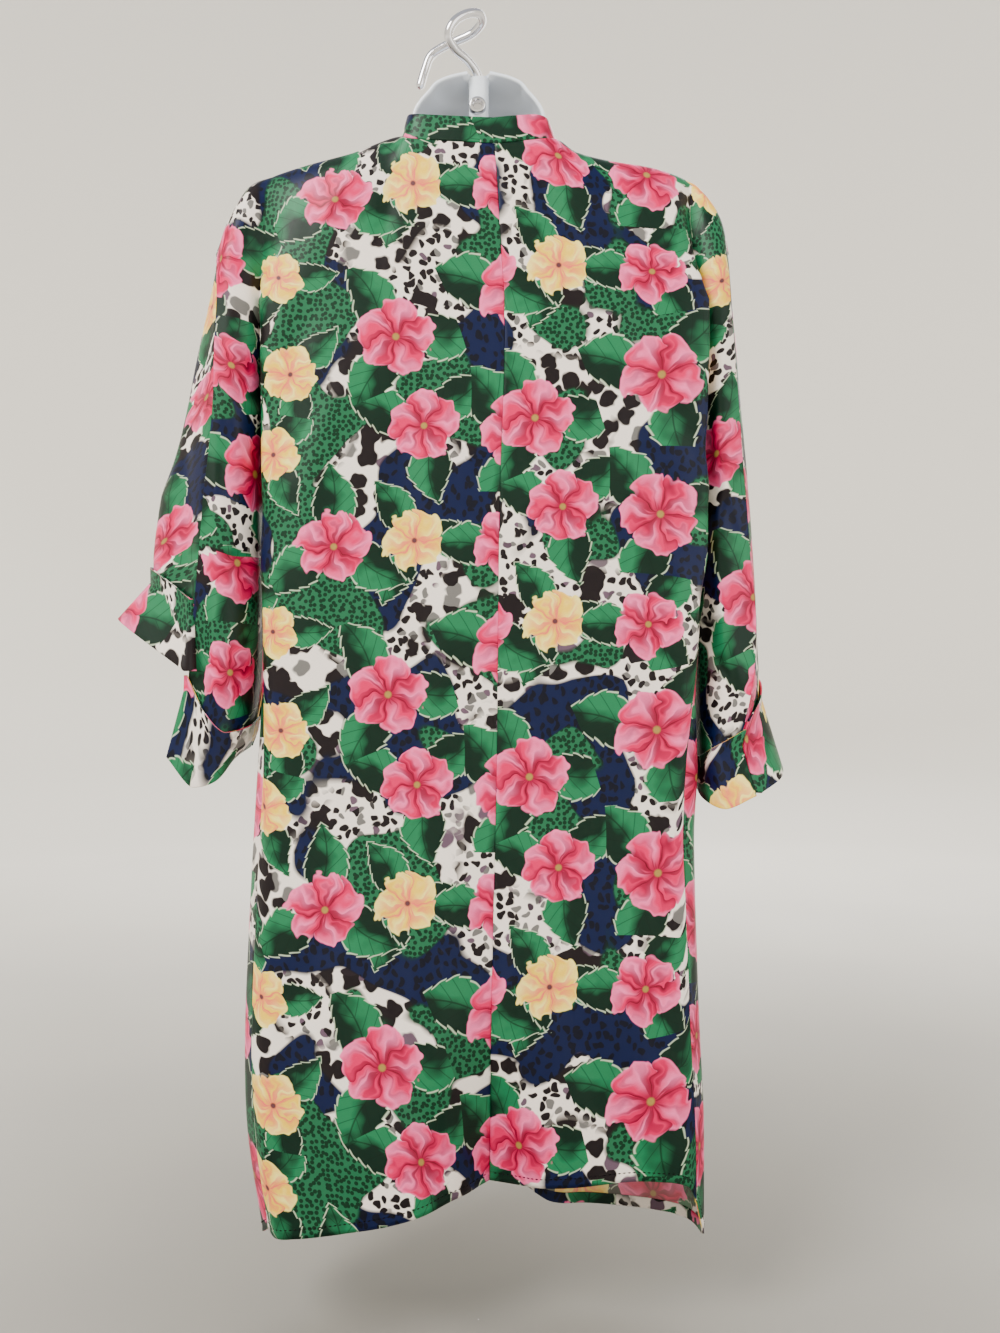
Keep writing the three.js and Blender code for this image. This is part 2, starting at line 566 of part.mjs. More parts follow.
// Closed wall from outer points, outward quads and a thickness
function wallGeometry(points, quads, thickness, fixed = new Map()) {
  const normals = points.map(() => new THREE.Vector3());
  for (const [a, b, c, d] of quads) {
    const n = points[c].clone().sub(points[a]).cross(points[d].clone().sub(points[b]));
    [a, b, c, d].forEach((id) => normals[id].add(n));
  }
  fixed.forEach((n, id) => normals[id].copy(n));
  const count = points.length;
  const inner = points.map((p, id) => p.clone().addScaledVector(normals[id].normalize(), -thickness));
  const index = [];
  const edges = new Set();
  for (const quad of quads) quad.forEach((a, k) => edges.add(`${a}_${quad[(k + 1) % 4]}`));
  for (const quad of quads) {
    const [a, b, c, d] = quad;
    index.push(a, b, c, a, c, d);
    index.push(a + count, c + count, b + count, a + count, d + count, c + count);
    quad.forEach((from, k) => {
      const to = quad[(k + 1) % 4];
      if (!edges.has(`${to}_${from}`)) index.push(to, from, from + count, to, from + count, to + count);
    });
  }
  const geometry = new THREE.BufferGeometry();
  const all = [...points, ...inner];
  geometry.setAttribute('position', new THREE.Float32BufferAttribute(all.flatMap((p) => p.toArray()), 3));
  geometry.setIndex(index);
  return geometry;
}

// Wall over a plain grid of columns, each a list of points
function gridWall(columns, thickness, flip) {
  const rows = columns[0].length;
  const points = columns.flat();
  const quads = [];
  for (let i = 0; i + 1 < columns.length; i += 1) {
    for (let j = 0; j + 1 < rows; j += 1) {
      const quad = [i * rows + j, i * rows + j + 1, (i + 1) * rows + j + 1, (i + 1) * rows + j];
      quads.push(flip ? quad.reverse() : quad);
    }
  }
  return wallGeometry(points, quads, thickness);
}

// Outward direction of a sleeve at a place and level
function sleeveNormal(side, stretch, place, z) {
  const a = levelPoint(side, stretch, Math.max(place - BESIDE, 0), z);
  const b = levelPoint(side, stretch, Math.min(place + BESIDE, 1), z);
  const t = b.sub(a);
  return new THREE.Vector3(t.y, -t.x, 0).multiplyScalar(-SIDES[side]).normalize();
}

// Turned back cuff over one half of a sleeve's end
function cuffGeometry(side, half) {
  const table = CUFFS[`${side}_${half}`];
  const stretch = half === 'back' ? 'sleeveBack' : 'sleeveFront';
  const lift = BAND_CLOTH + CUFF_LIFT;
  const columns = [];
  for (let i = 0; i <= SLEEVE_COLUMNS; i += 1) {
    const place = Math.min(Math.max(i / SLEEVE_COLUMNS, CUFF_INSET), 1 - CUFF_INSET);
    const row = rowAt(table, 'at', place);
    const onSleeve = (z) => levelPoint(side, stretch, place, z)
      .addScaledVector(sleeveNormal(side, stretch, place, z), lift);
    const foot = new THREE.Vector3(row.footX * SIDES[side], row.footY, row.footZ);
    const lap = onSleeve(row.top - CUFF_LAP);
    const cells = [onSleeve(row.top), onSleeve(row.top - CUFF_LAP / 2), lap];
    for (let j = 1; j <= CUFF_ROWS; j += 1) cells.push(lap.clone().lerp(foot, j / CUFF_ROWS));
    columns.push(cells);
  }
  const flip = SIDES[side] > 0;
  return gridWall(columns, BAND_CLOTH, flip);
}

// Band standing round the back of the neck
function neckBandGeometry() {
  const columns = [];
  for (let i = 0; i <= NECK_BAND_STEPS; i += 1) {
    const s = lerp(-1, 1, i / NECK_BAND_STEPS);
    const side = s < 0 ? 'right' : 'left';
    const at = Math.min(Math.abs(s), 1 - BAND_BREAK) * NECK_POINT;
    const base = ridgePoint(side, 'back', at);
    base.z += BAND_GAP;
    const rise = column(BAND_RISE, 's', 'rise', s);
    const sag = -BAND_SAG * (1 - s * s);
    const top = base.clone().add(new THREE.Vector3(-base.x * BAND_LEAN, sag, rise));
    columns.push([top, top.clone().lerp(base, 0.5), base]);
  }
  return gridWall(columns, BAND_CLOTH, true);
}

// Band on one front edge, from the shoulder point to the hem
function frontBandGeometry(side) {
  const columns = [];
  const sign = SIDES[side];
  const { low, high, edge, turn } = BAND_WAY;
  for (let i = 0; i <= BAND_STEPS.neck; i += 1) {
    const t = i / BAND_STEPS.neck;
    const base = ridgePoint(side, 'front', NECK_POINT * (1 - BAND_BREAK) * (1 - t));
    const up = (1 - t) ** turn;
    const [x, y, z] = ['x', 'y', 'z'].map((axis) => lerp(low[axis], high[axis], up));
    columns.push(bandPair(base, new THREE.Vector3(-sign * x, y, z).normalize()));
  }
  const hemZ = HEM[`${side}_front`][0].z;
  for (let i = 1; i <= BAND_STEPS.edge; i += 1) {
    const base = levelPoint(side, 'bodyFront', 0, lerp(YOKE_Z, hemZ, (i - 1) / (BAND_STEPS.edge - 1)));
    const way = new THREE.Vector3(-sign * edge.x, edge.y, 0).normalize();
    if (i === BAND_STEPS.edge) way.z = BAND_END_RISE;
    columns.push(bandPair(base, way));
  }
  return gridWall(columns, BAND_CLOTH, sign > 0);
}

function bandPair(base, way) {
  const inner = base.clone().addScaledVector(way, BAND_GAP);
  return [1, 0.5, 0].map((t) => inner.clone().addScaledVector(way, BAND_WIDTH * t));
}

// Hollow backed form: an open half shell with a boss for the hook's stem
function formShell() {
  const columns = [];
  for (let i = 0; i <= FORM_STEPS; i += 1) {
    const angle = Math.PI * (i / FORM_STEPS);
    columns.push(FORM.map(({ z, half, depth }) => {
      const across = Math.cos(angle);
      const x = -half * Math.sign(across) * Math.abs(across) ** FORM_SQUARE;
      const high = share(z, FORM_SHAPING.from, FORM_SHAPING.to);
      const tuck = SHOULDER_TUCK * high * share(Math.abs(x), FORM_TUCK_X.from, FORM_TUCK_X.to);
      const y = FORM_BACK_Y - tuck - depth * Math.abs(Math.sin(angle)) ** FORM_SQUARE;
      const behind = Math.max(y - SHOULDER_MID_Y, 0) * SHOULDER_FALL;
      const fall = behind * high * share(Math.abs(x), FORM_FALL_X.from, FORM_FALL_X.to);
      return new THREE.Vector3(x, y, z - fall);
    }));
  }
  return gridWall(columns, FORM_WALL, false);
}

// Round bar with a flat on its back, extruded downwards
function bossShape() {
  const shape = new THREE.Shape();
  const rise = BOSS.flatY - BOSS.y;
  const start = Math.asin(rise / BOSS.radius);
  shape.absarc(0, BOSS.y, BOSS.radius, Math.PI - start, 2 * Math.PI + start, false);
  shape.closePath();
  return shape;
}

function solid(wasm, geometry) {
  const bare = mergeVertices(stripped(geometry), SAME_POINT);
  const vertProperties = Float32Array.from(bare.attributes.position.array);
  const triVerts = Uint32Array.from(bare.index.array);
  return new wasm.Manifold(new wasm.Mesh({ numProp: 3, vertProperties, triVerts }));
}

function stripped(geometry) {
  const bare = geometry.clone();
  bare.deleteAttribute('normal');
  bare.deleteAttribute('uv');
  return bare;
}

function unsolid(body) {
  const mesh = body.getMesh();
  const geometry = new THREE.BufferGeometry();
  geometry.setAttribute('position', new THREE.BufferAttribute(Float32Array.from(mesh.vertProperties), 3));
  geometry.setIndex(new THREE.BufferAttribute(Uint32Array.from(mesh.triVerts), 1));
  return geometry;
}

function formGeometry(wasm) {
  const depth = BOSS.top - BOSS.foot;
  const boss = new THREE.ExtrudeGeometry(bossShape(), { depth, bevelEnabled: false, curveSegments: 10 });
  boss.translate(0, 0, BOSS.foot);
  const boreRadius = WIRE / 2 + STEM_CLEAR;
  const bore = new THREE.CylinderGeometry(boreRadius, boreRadius, depth, BORE_SIDES);
  bore.rotateX(Math.PI / 2);
  bore.translate(0, BOSS.y, STEM_FOOT - STEM_CLEAR + depth / 2);
  return unsolid(solid(wasm, formShell()).add(solid(wasm, boss)).subtract(solid(wasm, bore)));
}

function nutGeometry() {
  const { radius, bore, depth, length } = NUT;
  const profile = [
    [0, 0], [radius, 0], [radius, length - 1], [radius - 1, length], [bore, length], [bore, length - depth],
    [0, length - depth],
  ].map(([r, h]) => new THREE.Vector2(r, h));
  const nut = mergeVertices(stripped(new THREE.LatheGeometry(profile, BORE_SIDES)), SAME_POINT);
  nut.translate(NUT.x, 0, 0);
  return nut;
}

function hookGeometry() {
  const route = HOOK_PATH.map(({ x, y, z }) => new THREE.Vector3(x, y, z));
  const round = new THREE.Shape();
  round.absarc(0, 0, WIRE / 2, 0, 2 * Math.PI, false);
  return new THREE.ExtrudeGeometry(round, {
    steps: HOOK_STEPS,
    extrudePath: new THREE.CatmullRomCurve3(route, false, 'centripetal'),
    curveSegments: WIRE_SIDES / 2,
    bevelEnabled: false,
  });
}

// Materials
function finish(color, roughness, metalness = 0) {
  return new THREE.MeshStandardMaterial({ color, roughness, metalness });
}

const satin = () => finish(0xd8c8b8, 0.45);
const plastic = () => finish(0xe9eef6, 0.3);
const chrome = () => finish(0xc8c8c8, 0.12, 1);

const robe = new THREE.Group();

function addMesh(name, geometry, material) {
  const mesh = new THREE.Mesh(geometry, material);
  mesh.name = name;
  robe.add(mesh);
  return mesh;
}

const wasm = await Module();
wasm.setup();

for (const side of Object.keys(SIDES)) {
  for (const half of ['back', 'front']) {
    const panel = new HalfPanel(side, half).build();
    addMesh(`${half}_${side}`, wallGeometry(panel.points, panel.quads, CLOTH, panel.normals), satin());
    addMesh(`cuff_${side}_${half}`, cuffGeometry(side, half), satin());
  }
  addMesh(`front_band_${side}`, frontBandGeometry(side), satin());
}
addMesh('neck_band', neckBandGeometry(), satin());
addMesh('hanging_form', formGeometry(wasm), plastic());
const nut = addMesh('form_nut', nutGeometry(), chrome());
nut.position.set(0, BOSS.flatY + SEAM, NUT.z);
addMesh('hook', hookGeometry(), chrome());

export default robe;
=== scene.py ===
# Kimono robe of printed satin, seen from behind on a hollow backed form with a wire hook.
# Sizes are in millimetres until a mesh is made. x is outwards from the centre of each side.
import math

import bpy
import numpy as np
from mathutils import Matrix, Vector


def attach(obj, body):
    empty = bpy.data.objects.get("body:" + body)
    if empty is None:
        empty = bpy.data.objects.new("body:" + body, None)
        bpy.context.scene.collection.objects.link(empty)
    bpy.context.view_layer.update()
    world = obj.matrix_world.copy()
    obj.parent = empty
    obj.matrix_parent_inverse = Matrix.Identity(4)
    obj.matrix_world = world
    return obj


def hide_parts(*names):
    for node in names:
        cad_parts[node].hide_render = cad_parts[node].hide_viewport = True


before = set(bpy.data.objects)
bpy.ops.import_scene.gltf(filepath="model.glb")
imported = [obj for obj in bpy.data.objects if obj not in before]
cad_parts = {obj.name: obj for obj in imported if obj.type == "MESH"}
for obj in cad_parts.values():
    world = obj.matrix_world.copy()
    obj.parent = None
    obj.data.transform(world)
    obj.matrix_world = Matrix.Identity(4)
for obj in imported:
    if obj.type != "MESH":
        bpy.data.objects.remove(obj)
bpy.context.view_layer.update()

MM = 0.001
SIDES = {"left": 1, "right": -1}

# Cloth
CLOTH = 0.8              # shell of one layer
FOLDED = 1.7             # doubled band and cuffs
CAD_BAND = 2.4
CUFF_LIFT = 0.8
CUFF_LAP = 14
CUFF_UNDER = 11          # how far the front half of a cuff reaches in under the back half
CUFF_DEEP = 4
CUFF_OVER = 3
CUFF_ENDS = (0.004, 0.996)
CUFF_UNDER_TOP = 0.25    # share of the reach under the back half that is there at its top
BAND_WIDTH = 23
BAND_GAP = 0.5
BAND_END_RISE = 0.7      # slope of the hem across the front bands
BAND_END_LENGTH = 46
BAND_WAY = (0.995, -0.0995)
BAND_NECK_WAY = ((1, 0.5), (-0.12, 0), (0.12, 0.95))    # at the low end and at the neck point
BAND_NECK_END = 0.995
BAND_TURN = 1.2
NECK_POINT = 0.4
YOKE_Z = -262
UNDERARM_Z = -440
SLIT_Z = -452
SCALE_FROM_Z = -690
HEM_ABOUT_Z = -1085
SHOULDER_POWER = 5
CORNER_POWER = 1.2
SHOULDER_GATHER = 2.2
STEP = 4.0               # spacing of the cloth's grid, and its columns or rows on each stretch
GRID = {"ridge": 27, "body": 56, "sleeve_back": 26, "sleeve_front": 44, "sleeve": 52, "band": 13}
SEAM_DEPTH = 0.7         # groove that a seam makes
SEAM_SPREAD = 1.3
HEM_TURN = 10            # depth of the turned up hem
HEM_LIFT = 1.0
HEM_THICK = 0.9

# Form and hook
FORM_WALL = 3.5
FORM_SQUARE = 0.7
FORM_BACK_Y = -4
SHOULDER_MID_Y = -40
SHOULDER_FALL = 0.4
SHOULDER_TUCK = 10
FORM_SHAPING = (-320, -200)
FORM_TUCK_X = (125, 155)
FORM_FALL_X = (66, 96)
BOSS = {"radius": 9.3, "y": -16, "flat_y": -11, "top": -51, "foot": -104}
NUT = {"x": 1, "z": -79, "radius": 7.8, "bore": 4.6, "depth": 5, "length": 9}
WIRE = 8

# Soft troughs and ridges of the hanging cloth: from x, from z, to x, to z, width, height
CREASES = {
    "back": [
        (-52, -135, -95, -235, 11, -1.6), (-70, -130, -140, -190, 9, 1.5),
        (58, -135, 100, -225, 10, -1.5), (82, -135, 150, -180, 9, 1.3),
        (-150, -240, -198, -420, 15, -2.6), (-124, -300, -176, -560, 14, 2.2),
        (-180, -470, -158, -700, 14, -2.4), (150, -260, 188, -430, 15, -2.2),
        (118, -330, 172, -600, 14, 1.9), (170, -520, 150, -760, 14, -2.2),
        (44, -300, 64, -640, 18, -1.6), (-64, -380, -80, -700, 17, 1.5), (14, -520, 32, -820, 14, 1.4),
        (62, -760, 46, -1090, 15, -4.2), (100, -800, 112, -1100, 17, 3.0),
        (-48, -820, -40, -1072, 13, 3.6), (-92, -780, -118, -1075, 19, -3.0),
        (-150, -820, -158, -1080, 15, 2.4), (152, -850, 146, -1100, 13, -2.6),
        (26, -900, 20, -1085, 9, 2.6), (196, -620, 184, -800, 9, 1.6), (214, -330, 230, -520, 7, -2.0),
        (238, -290, 250, -470, 8, 1.8), (224, -500, 262, -610, 7, -1.8), (242, -520, 226, -650, 6, 1.6),
        (-220, -300, -238, -520, 7, -1.8), (-244, -400, -228, -640, 7, 1.7),
        (-214, -540, -250, -660, 6, -1.5), (252, -499, 206, -499, 3.2, -1.3),
        (212, -466, 212, -499, 3.0, -1.0),
    ],
    "front": [
        (70, -300, 96, -620, 15, -2.2), (130, -260, 120, -560, 14, 2.0), (-74, -320, -92, -640, 15, 2.0),
        (-128, -270, -118, -600, 13, -2.1), (160, -420, 140, -800, 14, -2.4),
        (-160, -430, -142, -820, 14, 2.2), (90, -700, 78, -1110, 15, 3.2),
        (130, -760, 142, -1100, 14, -3.0), (-84, -720, -74, -1115, 15, -3.0),
        (-130, -760, -148, -1090, 15, 2.8), (60, -780, 62, -1120, 9, -2.0),
        (-62, -800, -64, -1110, 9, 2.0), (250, -300, 286, -520, 9, -2.2), (228, -340, 250, -560, 8, 1.8),
        (-246, -320, -252, -600, 8, -1.8), (-224, -380, -238, -640, 7, 1.6),
        (90, -150, 150, -230, 10, -1.6), (-92, -150, -150, -236, 10, -1.5),
    ],
}
CREASE_EDGE = 14         # creases die out this near a seam
CREASE_GAIN = 1.4
CREASE_BOW = 0.06        # how far a crease bends, as a share of its length
CREASE_WAVE = 1.4
CREASE_START = (-0.1, 0.3)
CREASE_STOP = (1.1, 0.75)
TUCK_Z = -499            # line where the left sleeve is pieced, and how far its print jumps there
TUCK_FROM_X = 204
TUCK_END_Z = -720
TUCK_JUMP = (34, 46)
STITCH = {"above": 8, "pitch": 4.4, "length": 3.8, "width": 1.2, "lift": 0.3, "crown": 0.3, "sink": 0.1}

# Photograph's camera
CAMERA = {"place": (-0.020, 1.112, -0.603), "lens": 32.3, "sensor": 36}


class Table:
    """Rows of named columns, read along the first one on a curve that never overshoots."""

    def __init__(self, names, rows):
        columns = np.array(rows, float).T
        if columns[0][-1] < columns[0][0]:
            columns = columns[:, ::-1]
        self.axis = columns[0]
        self.columns = dict(zip(names.split(), columns))

    def at(self, name, place):
        axis, values = self.axis, self.columns[name]
        last = len(axis) - 1
        place = np.asarray(place, float)
        i = np.clip(np.searchsorted(axis, place), 1, last)
        span = axis[i] - axis[i - 1]
        step = values[i] - values[i - 1]
        t = np.clip((place - axis[i - 1]) / span, 0, 1)
        way = np.sign(step)

        def slope(k):
            low, high = np.maximum(k - 1, 0), np.minimum(k + 1, last)
            rise = (values[high] - values[low]) / (axis[high] - axis[low])
            return way * np.clip(rise * span * way, 0, 3 * np.abs(step))

        bend = t * t * (3 - 2 * t)
        start = slope(i - 1) * (t ** 3 - 2 * t * t + t)
        return values[i - 1] + step * bend + start + slope(i) * (t ** 3 - t * t)


RIDGE = {
    "left": Table("at x y z", [
        (0, -15, 8, -120), (0.16, 38, 7, -117), (0.24, 63, 3.5, -114), (0.31, 71, -10, -109),
        (0.4, 76, -42, -103), (0.6, 115, -43, -117), (0.8, 161, -44, -128), (1, 196, -44, -137),
        (1.25, 217, -41, -147), (1.5, 232, -35, -171), (1.75, 241, -24, -192), (2, 246, -9, -218),
    ]),
    "right": Table("at x y z", [
        (0, 15, 8, -120), (0.16, 42, 7, -117), (0.24, 63, 3.5, -114), (0.31, 71, -10, -111),
        (0.4, 74, -42, -106), (0.46, 87, -42.5, -116), (0.6, 116, -43, -124), (0.8, 164, -44, -131),
        (1, 199, -44, -139), (1.25, 213, -42, -150), (1.5, 225, -38, -166), (1.75, 233, -31, -186),
        (2, 236, -20, -214),
    ]),
}
FRONT_NECK = {
    side: Table("at x y z", [
        (0, 45, -110, -236), (0.12, 52, -101, -198), (0.24, 62, -86, -158), (0.33, 72, -64, -124), end,
    ])
    for side, end in (("left", (0.4, 76, -42, -103)), ("right", (0.4, 74, -42, -106)))
}
BAND_RISE = Table("s rise", [(-1, 12), (-0.85, 15), (-0.7, 18.5), (-0.5, 22), (0, 23), (1, 21)])
BAND_LEAN = 0.08
BAND_SAG = 2             # how far the neck band leans forwards at its middle

BACK_SPREAD = {"inner": 0.33, "outer": 0.68, "fold": 0.92, "depth": 0.3}
CHEST_LIFT = 2
BESIDE = 0.02            # share of a section used to find its direction at one place

CENTRE = Table("z x y", [
    (-262, -24, 9), (-320, -24, 10), (-440, -20, 12), (-600, -18, 17), (-690, -17, 22),
    (-830, -14, 33), (-930, -12, 37), (-1020, -11, 26), (-1110, -10, 12),
])
BODY_COLUMNS = (
    "z back fold_x fold_y end_x end_back end_front turn_x turn_y side_x side_y chest_x chest_y edge_x edge_y"
)
BODY = {
    "left": Table(BODY_COLUMNS, [
        (-262, 9, 200, 2, 206, -8, -76, 198, -92, 170, -108, 92, -120, 36, -114),
        (-310, 10, 202, 0, 206, -20, -72, 198, -88, 173, -110, 94, -129, 35, -119),
        (-356, 10, 202, -2, 205, -30, -64, 198, -82, 176, -110, 94, -131, 34, -120),
        (-405, 11, 202, -4, 205, -37, -54, 199, -72, 178, -106, 94, -130, 34, -119),
        (-440, 12, 202, -6, 205, -41.5, -46.5, 199, -66, 181, -102, 94, -129, 34, -118),
        (-452, 12, 202, -8, 201, -44, -44, 197, -64, 181, -100, 94, -128, 34, -118),
        (-500, 13, 203, -4, 202, -30, -30, 198, -54, 184, -96, 94, -127, 35, -116),
        (-560, 16, 198, 7, 202, -8, -8, 201, -30, 190, -84, 96, -125, 36, -114),
        (-690, 24, 188, 20, 198, 13, 13, 206, -6, 192, -80, 98, -122, 38, -113),
        (-760, 32, 189, 28, 200, 20, 20, 209, 0, 195, -78, 100, -120, 40, -111),
        (-830, 42, 191, 38, 202, 29, 29, 211, 8, 198, -74, 102, -117, 42, -109),
        (-930, 56, 192, 52, 203, 42, 42, 213, 18, 200, -68, 104, -104, 46, -97),
        (-1020, 66, 188, 62, 198, 50, 50, 210, 24, 202, -52, 106, -90, 50, -84),
        (-1110, 72, 174, 66, 184, 54, 54, 196, 26, 194, -38, 106, -74, 54, -68),
    ]),
    "right": Table(BODY_COLUMNS, [
        (-262, 9, 214, 3, 203, -16, -80, 195, -94, 168, -109, 92, -120, 36, -114),
        (-310, 10, 215, 3, 202, -26, -76, 194, -90, 170, -110, 94, -129, 35, -119),
        (-356, 10, 215, 3, 201, -34, -70, 193, -86, 173, -110, 94, -131, 34, -120),
        (-405, 11, 214, 3, 200, -42, -60, 193, -78, 175, -106, 94, -130, 34, -119),
        (-440, 12, 214, 3, 200, -45.5, -50.5, 193, -70, 178, -102, 94, -129, 34, -118),
        (-452, 12, 213, 3, 195, -48, -48, 191, -68, 178, -100, 94, -128, 34, -118),
        (-500, 13, 212, 4, 200, -30, -30, 192, -54, 182, -96, 94, -127, 35, -116),
        (-560, 16, 200, 12, 206, 1, 1, 200, -18, 188, -78, 96, -125, 36, -114),
        (-690, 23, 181, 23, 191, 20, 20, 202, 8, 189, -76, 98, -122, 38, -113),
        (-760, 28, 176, 28, 187, 25, 25, 198, 12, 191, -76, 100, -120, 40, -111),
        (-830, 35, 178, 34, 189, 31, 31, 199, 16, 193, -73, 102, -117, 42, -109),
        (-930, 44, 182, 42, 192, 38, 38, 202, 20, 196, -68, 104, -104, 46, -97),
        (-1020, 48, 186, 46, 196, 41, 41, 206, 22, 198, -52, 106, -90, 50, -84),
        (-1110, 50, 188, 48, 197, 42, 42, 206, 22, 197, -40, 106, -74, 54, -68),
    ]),
}
SLEEVE_COLUMNS = (
    "z in_x in_y back_x back_y over_x over_y out_x out_y front_x front_y inner_x inner_y under_x under_y"
)
SLEEVE = {
    "left": Table(SLEEVE_COLUMNS, [
        (-262, 212, 2, 227, 8, 243, 5, 258, -32, 232, -84, 213, -86, 209, -44),
        (-310, 211, -6, 226, 8, 245, 7, 270, -34, 238, -88, 215, -84, 209, -44),
        (-356, 211, -12, 226, 8, 246, 8, 281, -36, 244, -92, 215, -82, 209, -44),
        (-405, 211, -16, 227, 8, 250, 8, 293, -38, 250, -95, 215, -80, 209, -44),
        (-440, 211, -20, 228, 8, 254, 9, 306, -40, 254, -97, 216, -78, 209, -44),
        (-452, 211, -20, 228, 8, 255, 9, 308, -40, 255, -97, 216, -78, 209.5, -44),
        (-500, 211, -16, 230, 9, 259, 9, 314, -42, 258, -99, 216, -82, 208, -46),
        (-560, 211, -13, 232, 11, 264, 10, 312, -44, 260, -100, 218, -84, 209, -46),
        (-620, 214, -10, 236, 15, 268, 11, 303, -44, 262, -98, 220, -82, 211, -45),
        (-700, 224, -6, 242, 18, 274, 10, 296, -40, 262, -92, 228, -78, 222, -43),
    ]),
    "right": Table(SLEEVE_COLUMNS, [
        (-262, 211, -8, 224, -3, 237, -8, 242, -38, 228, -84, 211, -88, 205, -48),
        (-310, 212, -16, 226, -7, 242, -13, 248, -42, 232, -89, 211, -88, 205, -48),
        (-356, 212, -22, 228, -10, 246, -16, 252, -44, 234, -92, 211, -87, 205, -48),
        (-405, 211, -27, 229, -11, 250, -18, 257, -46, 236, -95, 210, -84, 205, -48),
        (-440, 211, -31, 230, -11, 253, -18, 260, -48, 238, -97, 210, -82, 205, -48),
        (-452, 212, -31, 230, -11, 254, -18, 261, -48, 238, -97, 211, -82, 205, -48),
        (-500, 213, -28, 231, -10, 257, -16, 264, -48, 240, -98, 212, -86, 205, -52),
        (-560, 213, -24, 232, -8, 262, -14, 267, -46, 242, -98, 213, -87, 205, -52),
        (-620, 213, -20, 230, -4, 256, -2, 269, -44, 244, -96, 215, -86, 206, -51),
        (-700, 212, -16, 219, 3, 236, 6, 266, -38, 244, -92, 217, -82, 207, -49),
    ]),
}
CUFF_COLUMNS = "at top foot_x foot_y foot_z"
CUFFS = {
    "left_back": Table(CUFF_COLUMNS, [
        (0, -652, 220, -42, -680), (0.33, -660, 227, -2, -689), (0.6, -664, 239, 20, -707),
        (0.8, -645, 259, 29, -712), (1, -611, 284, 24, -684),
    ]),
    "left_front": Table(CUFF_COLUMNS, [
        (0, -542, 267, 24, -607), (0.25, -508, 347, -38, -556), (0.5, -540, 290, -124, -592),
        (0.75, -600, 234, -108, -650), (1, -652, 220, -50, -680),
    ]),
    "right_back": Table(CUFF_COLUMNS, [
        (0, -690, 206, -46, -708), (0.33, -687, 209, -10, -725), (0.66, -677, 226, 16, -733),
        (1, -662, 254, 22, -720),
    ]),
    "right_front": Table(CUFF_COLUMNS, [
        (0, -655, 258, 21, -718), (0.14, -634, 282, 2, -704), (0.3, -614, 288, -44, -692),
        (0.5, -640, 262, -112, -700), (0.75, -672, 224, -102, -709), (1, -690, 206, -53, -708),
    ]),
}
HEM = {
    "left_back": Table("at z", [(0, -1073), (0.2, -1084), (0.45, -1099), (0.85, -1104), (1, -1100)]),
    "right_back": Table("at z", [
        (0, -1073), (0.2, -1067), (0.5, -1061), (0.8, -1066), (0.92, -1074), (1, -1082),
    ]),
    "left_front": Table("at z", [(0, -1130), (0.3, -1130), (0.75, -1118), (1, -1100)]),
    "right_front": Table("at z", [
        (0, -1121), (0.12, -1131), (0.3, -1134), (0.7, -1129), (0.88, -1108), (1, -1082),
    ]),
}
FORM = Table("z half depth", [
    (-51, 10, 9), (-55, 27, 24), (-60, 38, 33), (-67, 44, 39), (-76, 52, 46), (-84, 57, 50),
    (-96, 60, 55), (-112, 62, 56), (-119, 90, 57), (-124, 112, 59), (-127, 133, 60),
    (-132.6, 158, 61), (-137, 176, 62), (-142, 182, 66), (-160, 185, 75), (-182, 185, 81),
    (-215, 185, 88), (-262, 181, 97), (-310, 177, 105), (-356, 172, 106), (-405, 162, 100),
    (-470, 150, 92), (-540, 158, 94), (-610, 172, 98), (-680, 178, 100), (-740, 178, 98),
])
FORM_LEVELS = (-51, -67, -143, -740)
HOOK_PATH = [
    (0, -16, -84), (0, -16, -68), (0, -16, -51), (2.5, -13, -44), (11, -5, -36.5), (22, 5, -31),
    (27.5, 12, -23), (23, 14, -12), (12, 9, -1.5), (0, 0, 4), (-3, -11, 2.5), (5, -20, -3),
    (20, -25, -8), (34, -27, -13), (46, -28, -21), (51.5, -28, -34), (56, -28, -49),
]


# Curves and sections

def lerp(a, b, t):
    return a + (b - a) * t


def share(value, start, end):
    return np.clip((value - start) / (end - start), 0, 1)


def spline(controls, t):
    """Points at t, 0 to 1, on centripetal curves through their controls (curve, control, axis)."""
    count = controls.shape[1]
    before = 2 * controls[:, :1] - controls[:, 1:2]
    after = 2 * controls[:, -1:] - controls[:, -2:-1]
    points = np.concatenate([before, controls, after], axis=1)
    place = np.clip(t, 0, 1) * (count - 1)
    i = np.minimum(place.astype(int), count - 2)
    w = (place - i)[:, None]
    rows = np.arange(len(points))
    p0, p1, p2, p3 = (points[rows, i + k] for k in range(4))

    def stride(a, b):
        return np.maximum(np.sqrt(np.linalg.norm(b - a, axis=1, keepdims=True)), 1e-3)

    d0, d1, d2 = stride(p0, p1), stride(p1, p2), stride(p2, p3)
    m1 = ((p1 - p0) / d0 - (p2 - p0) / (d0 + d1) + (p2 - p1) / d1) * d1
    m2 = ((p2 - p1) / d1 - (p3 - p1) / (d1 + d2) + (p3 - p2) / d2) * d1
    cubic = 2 * p1 - 2 * p2 + m1 + m2
    square = -3 * p1 + 3 * p2 - 2 * m1 - m2
    return p1 + m1 * w + square * w * w + cubic * w ** 3


def flat(x, y):
    return np.stack([np.broadcast_to(x, np.shape(y)), y], axis=-1)


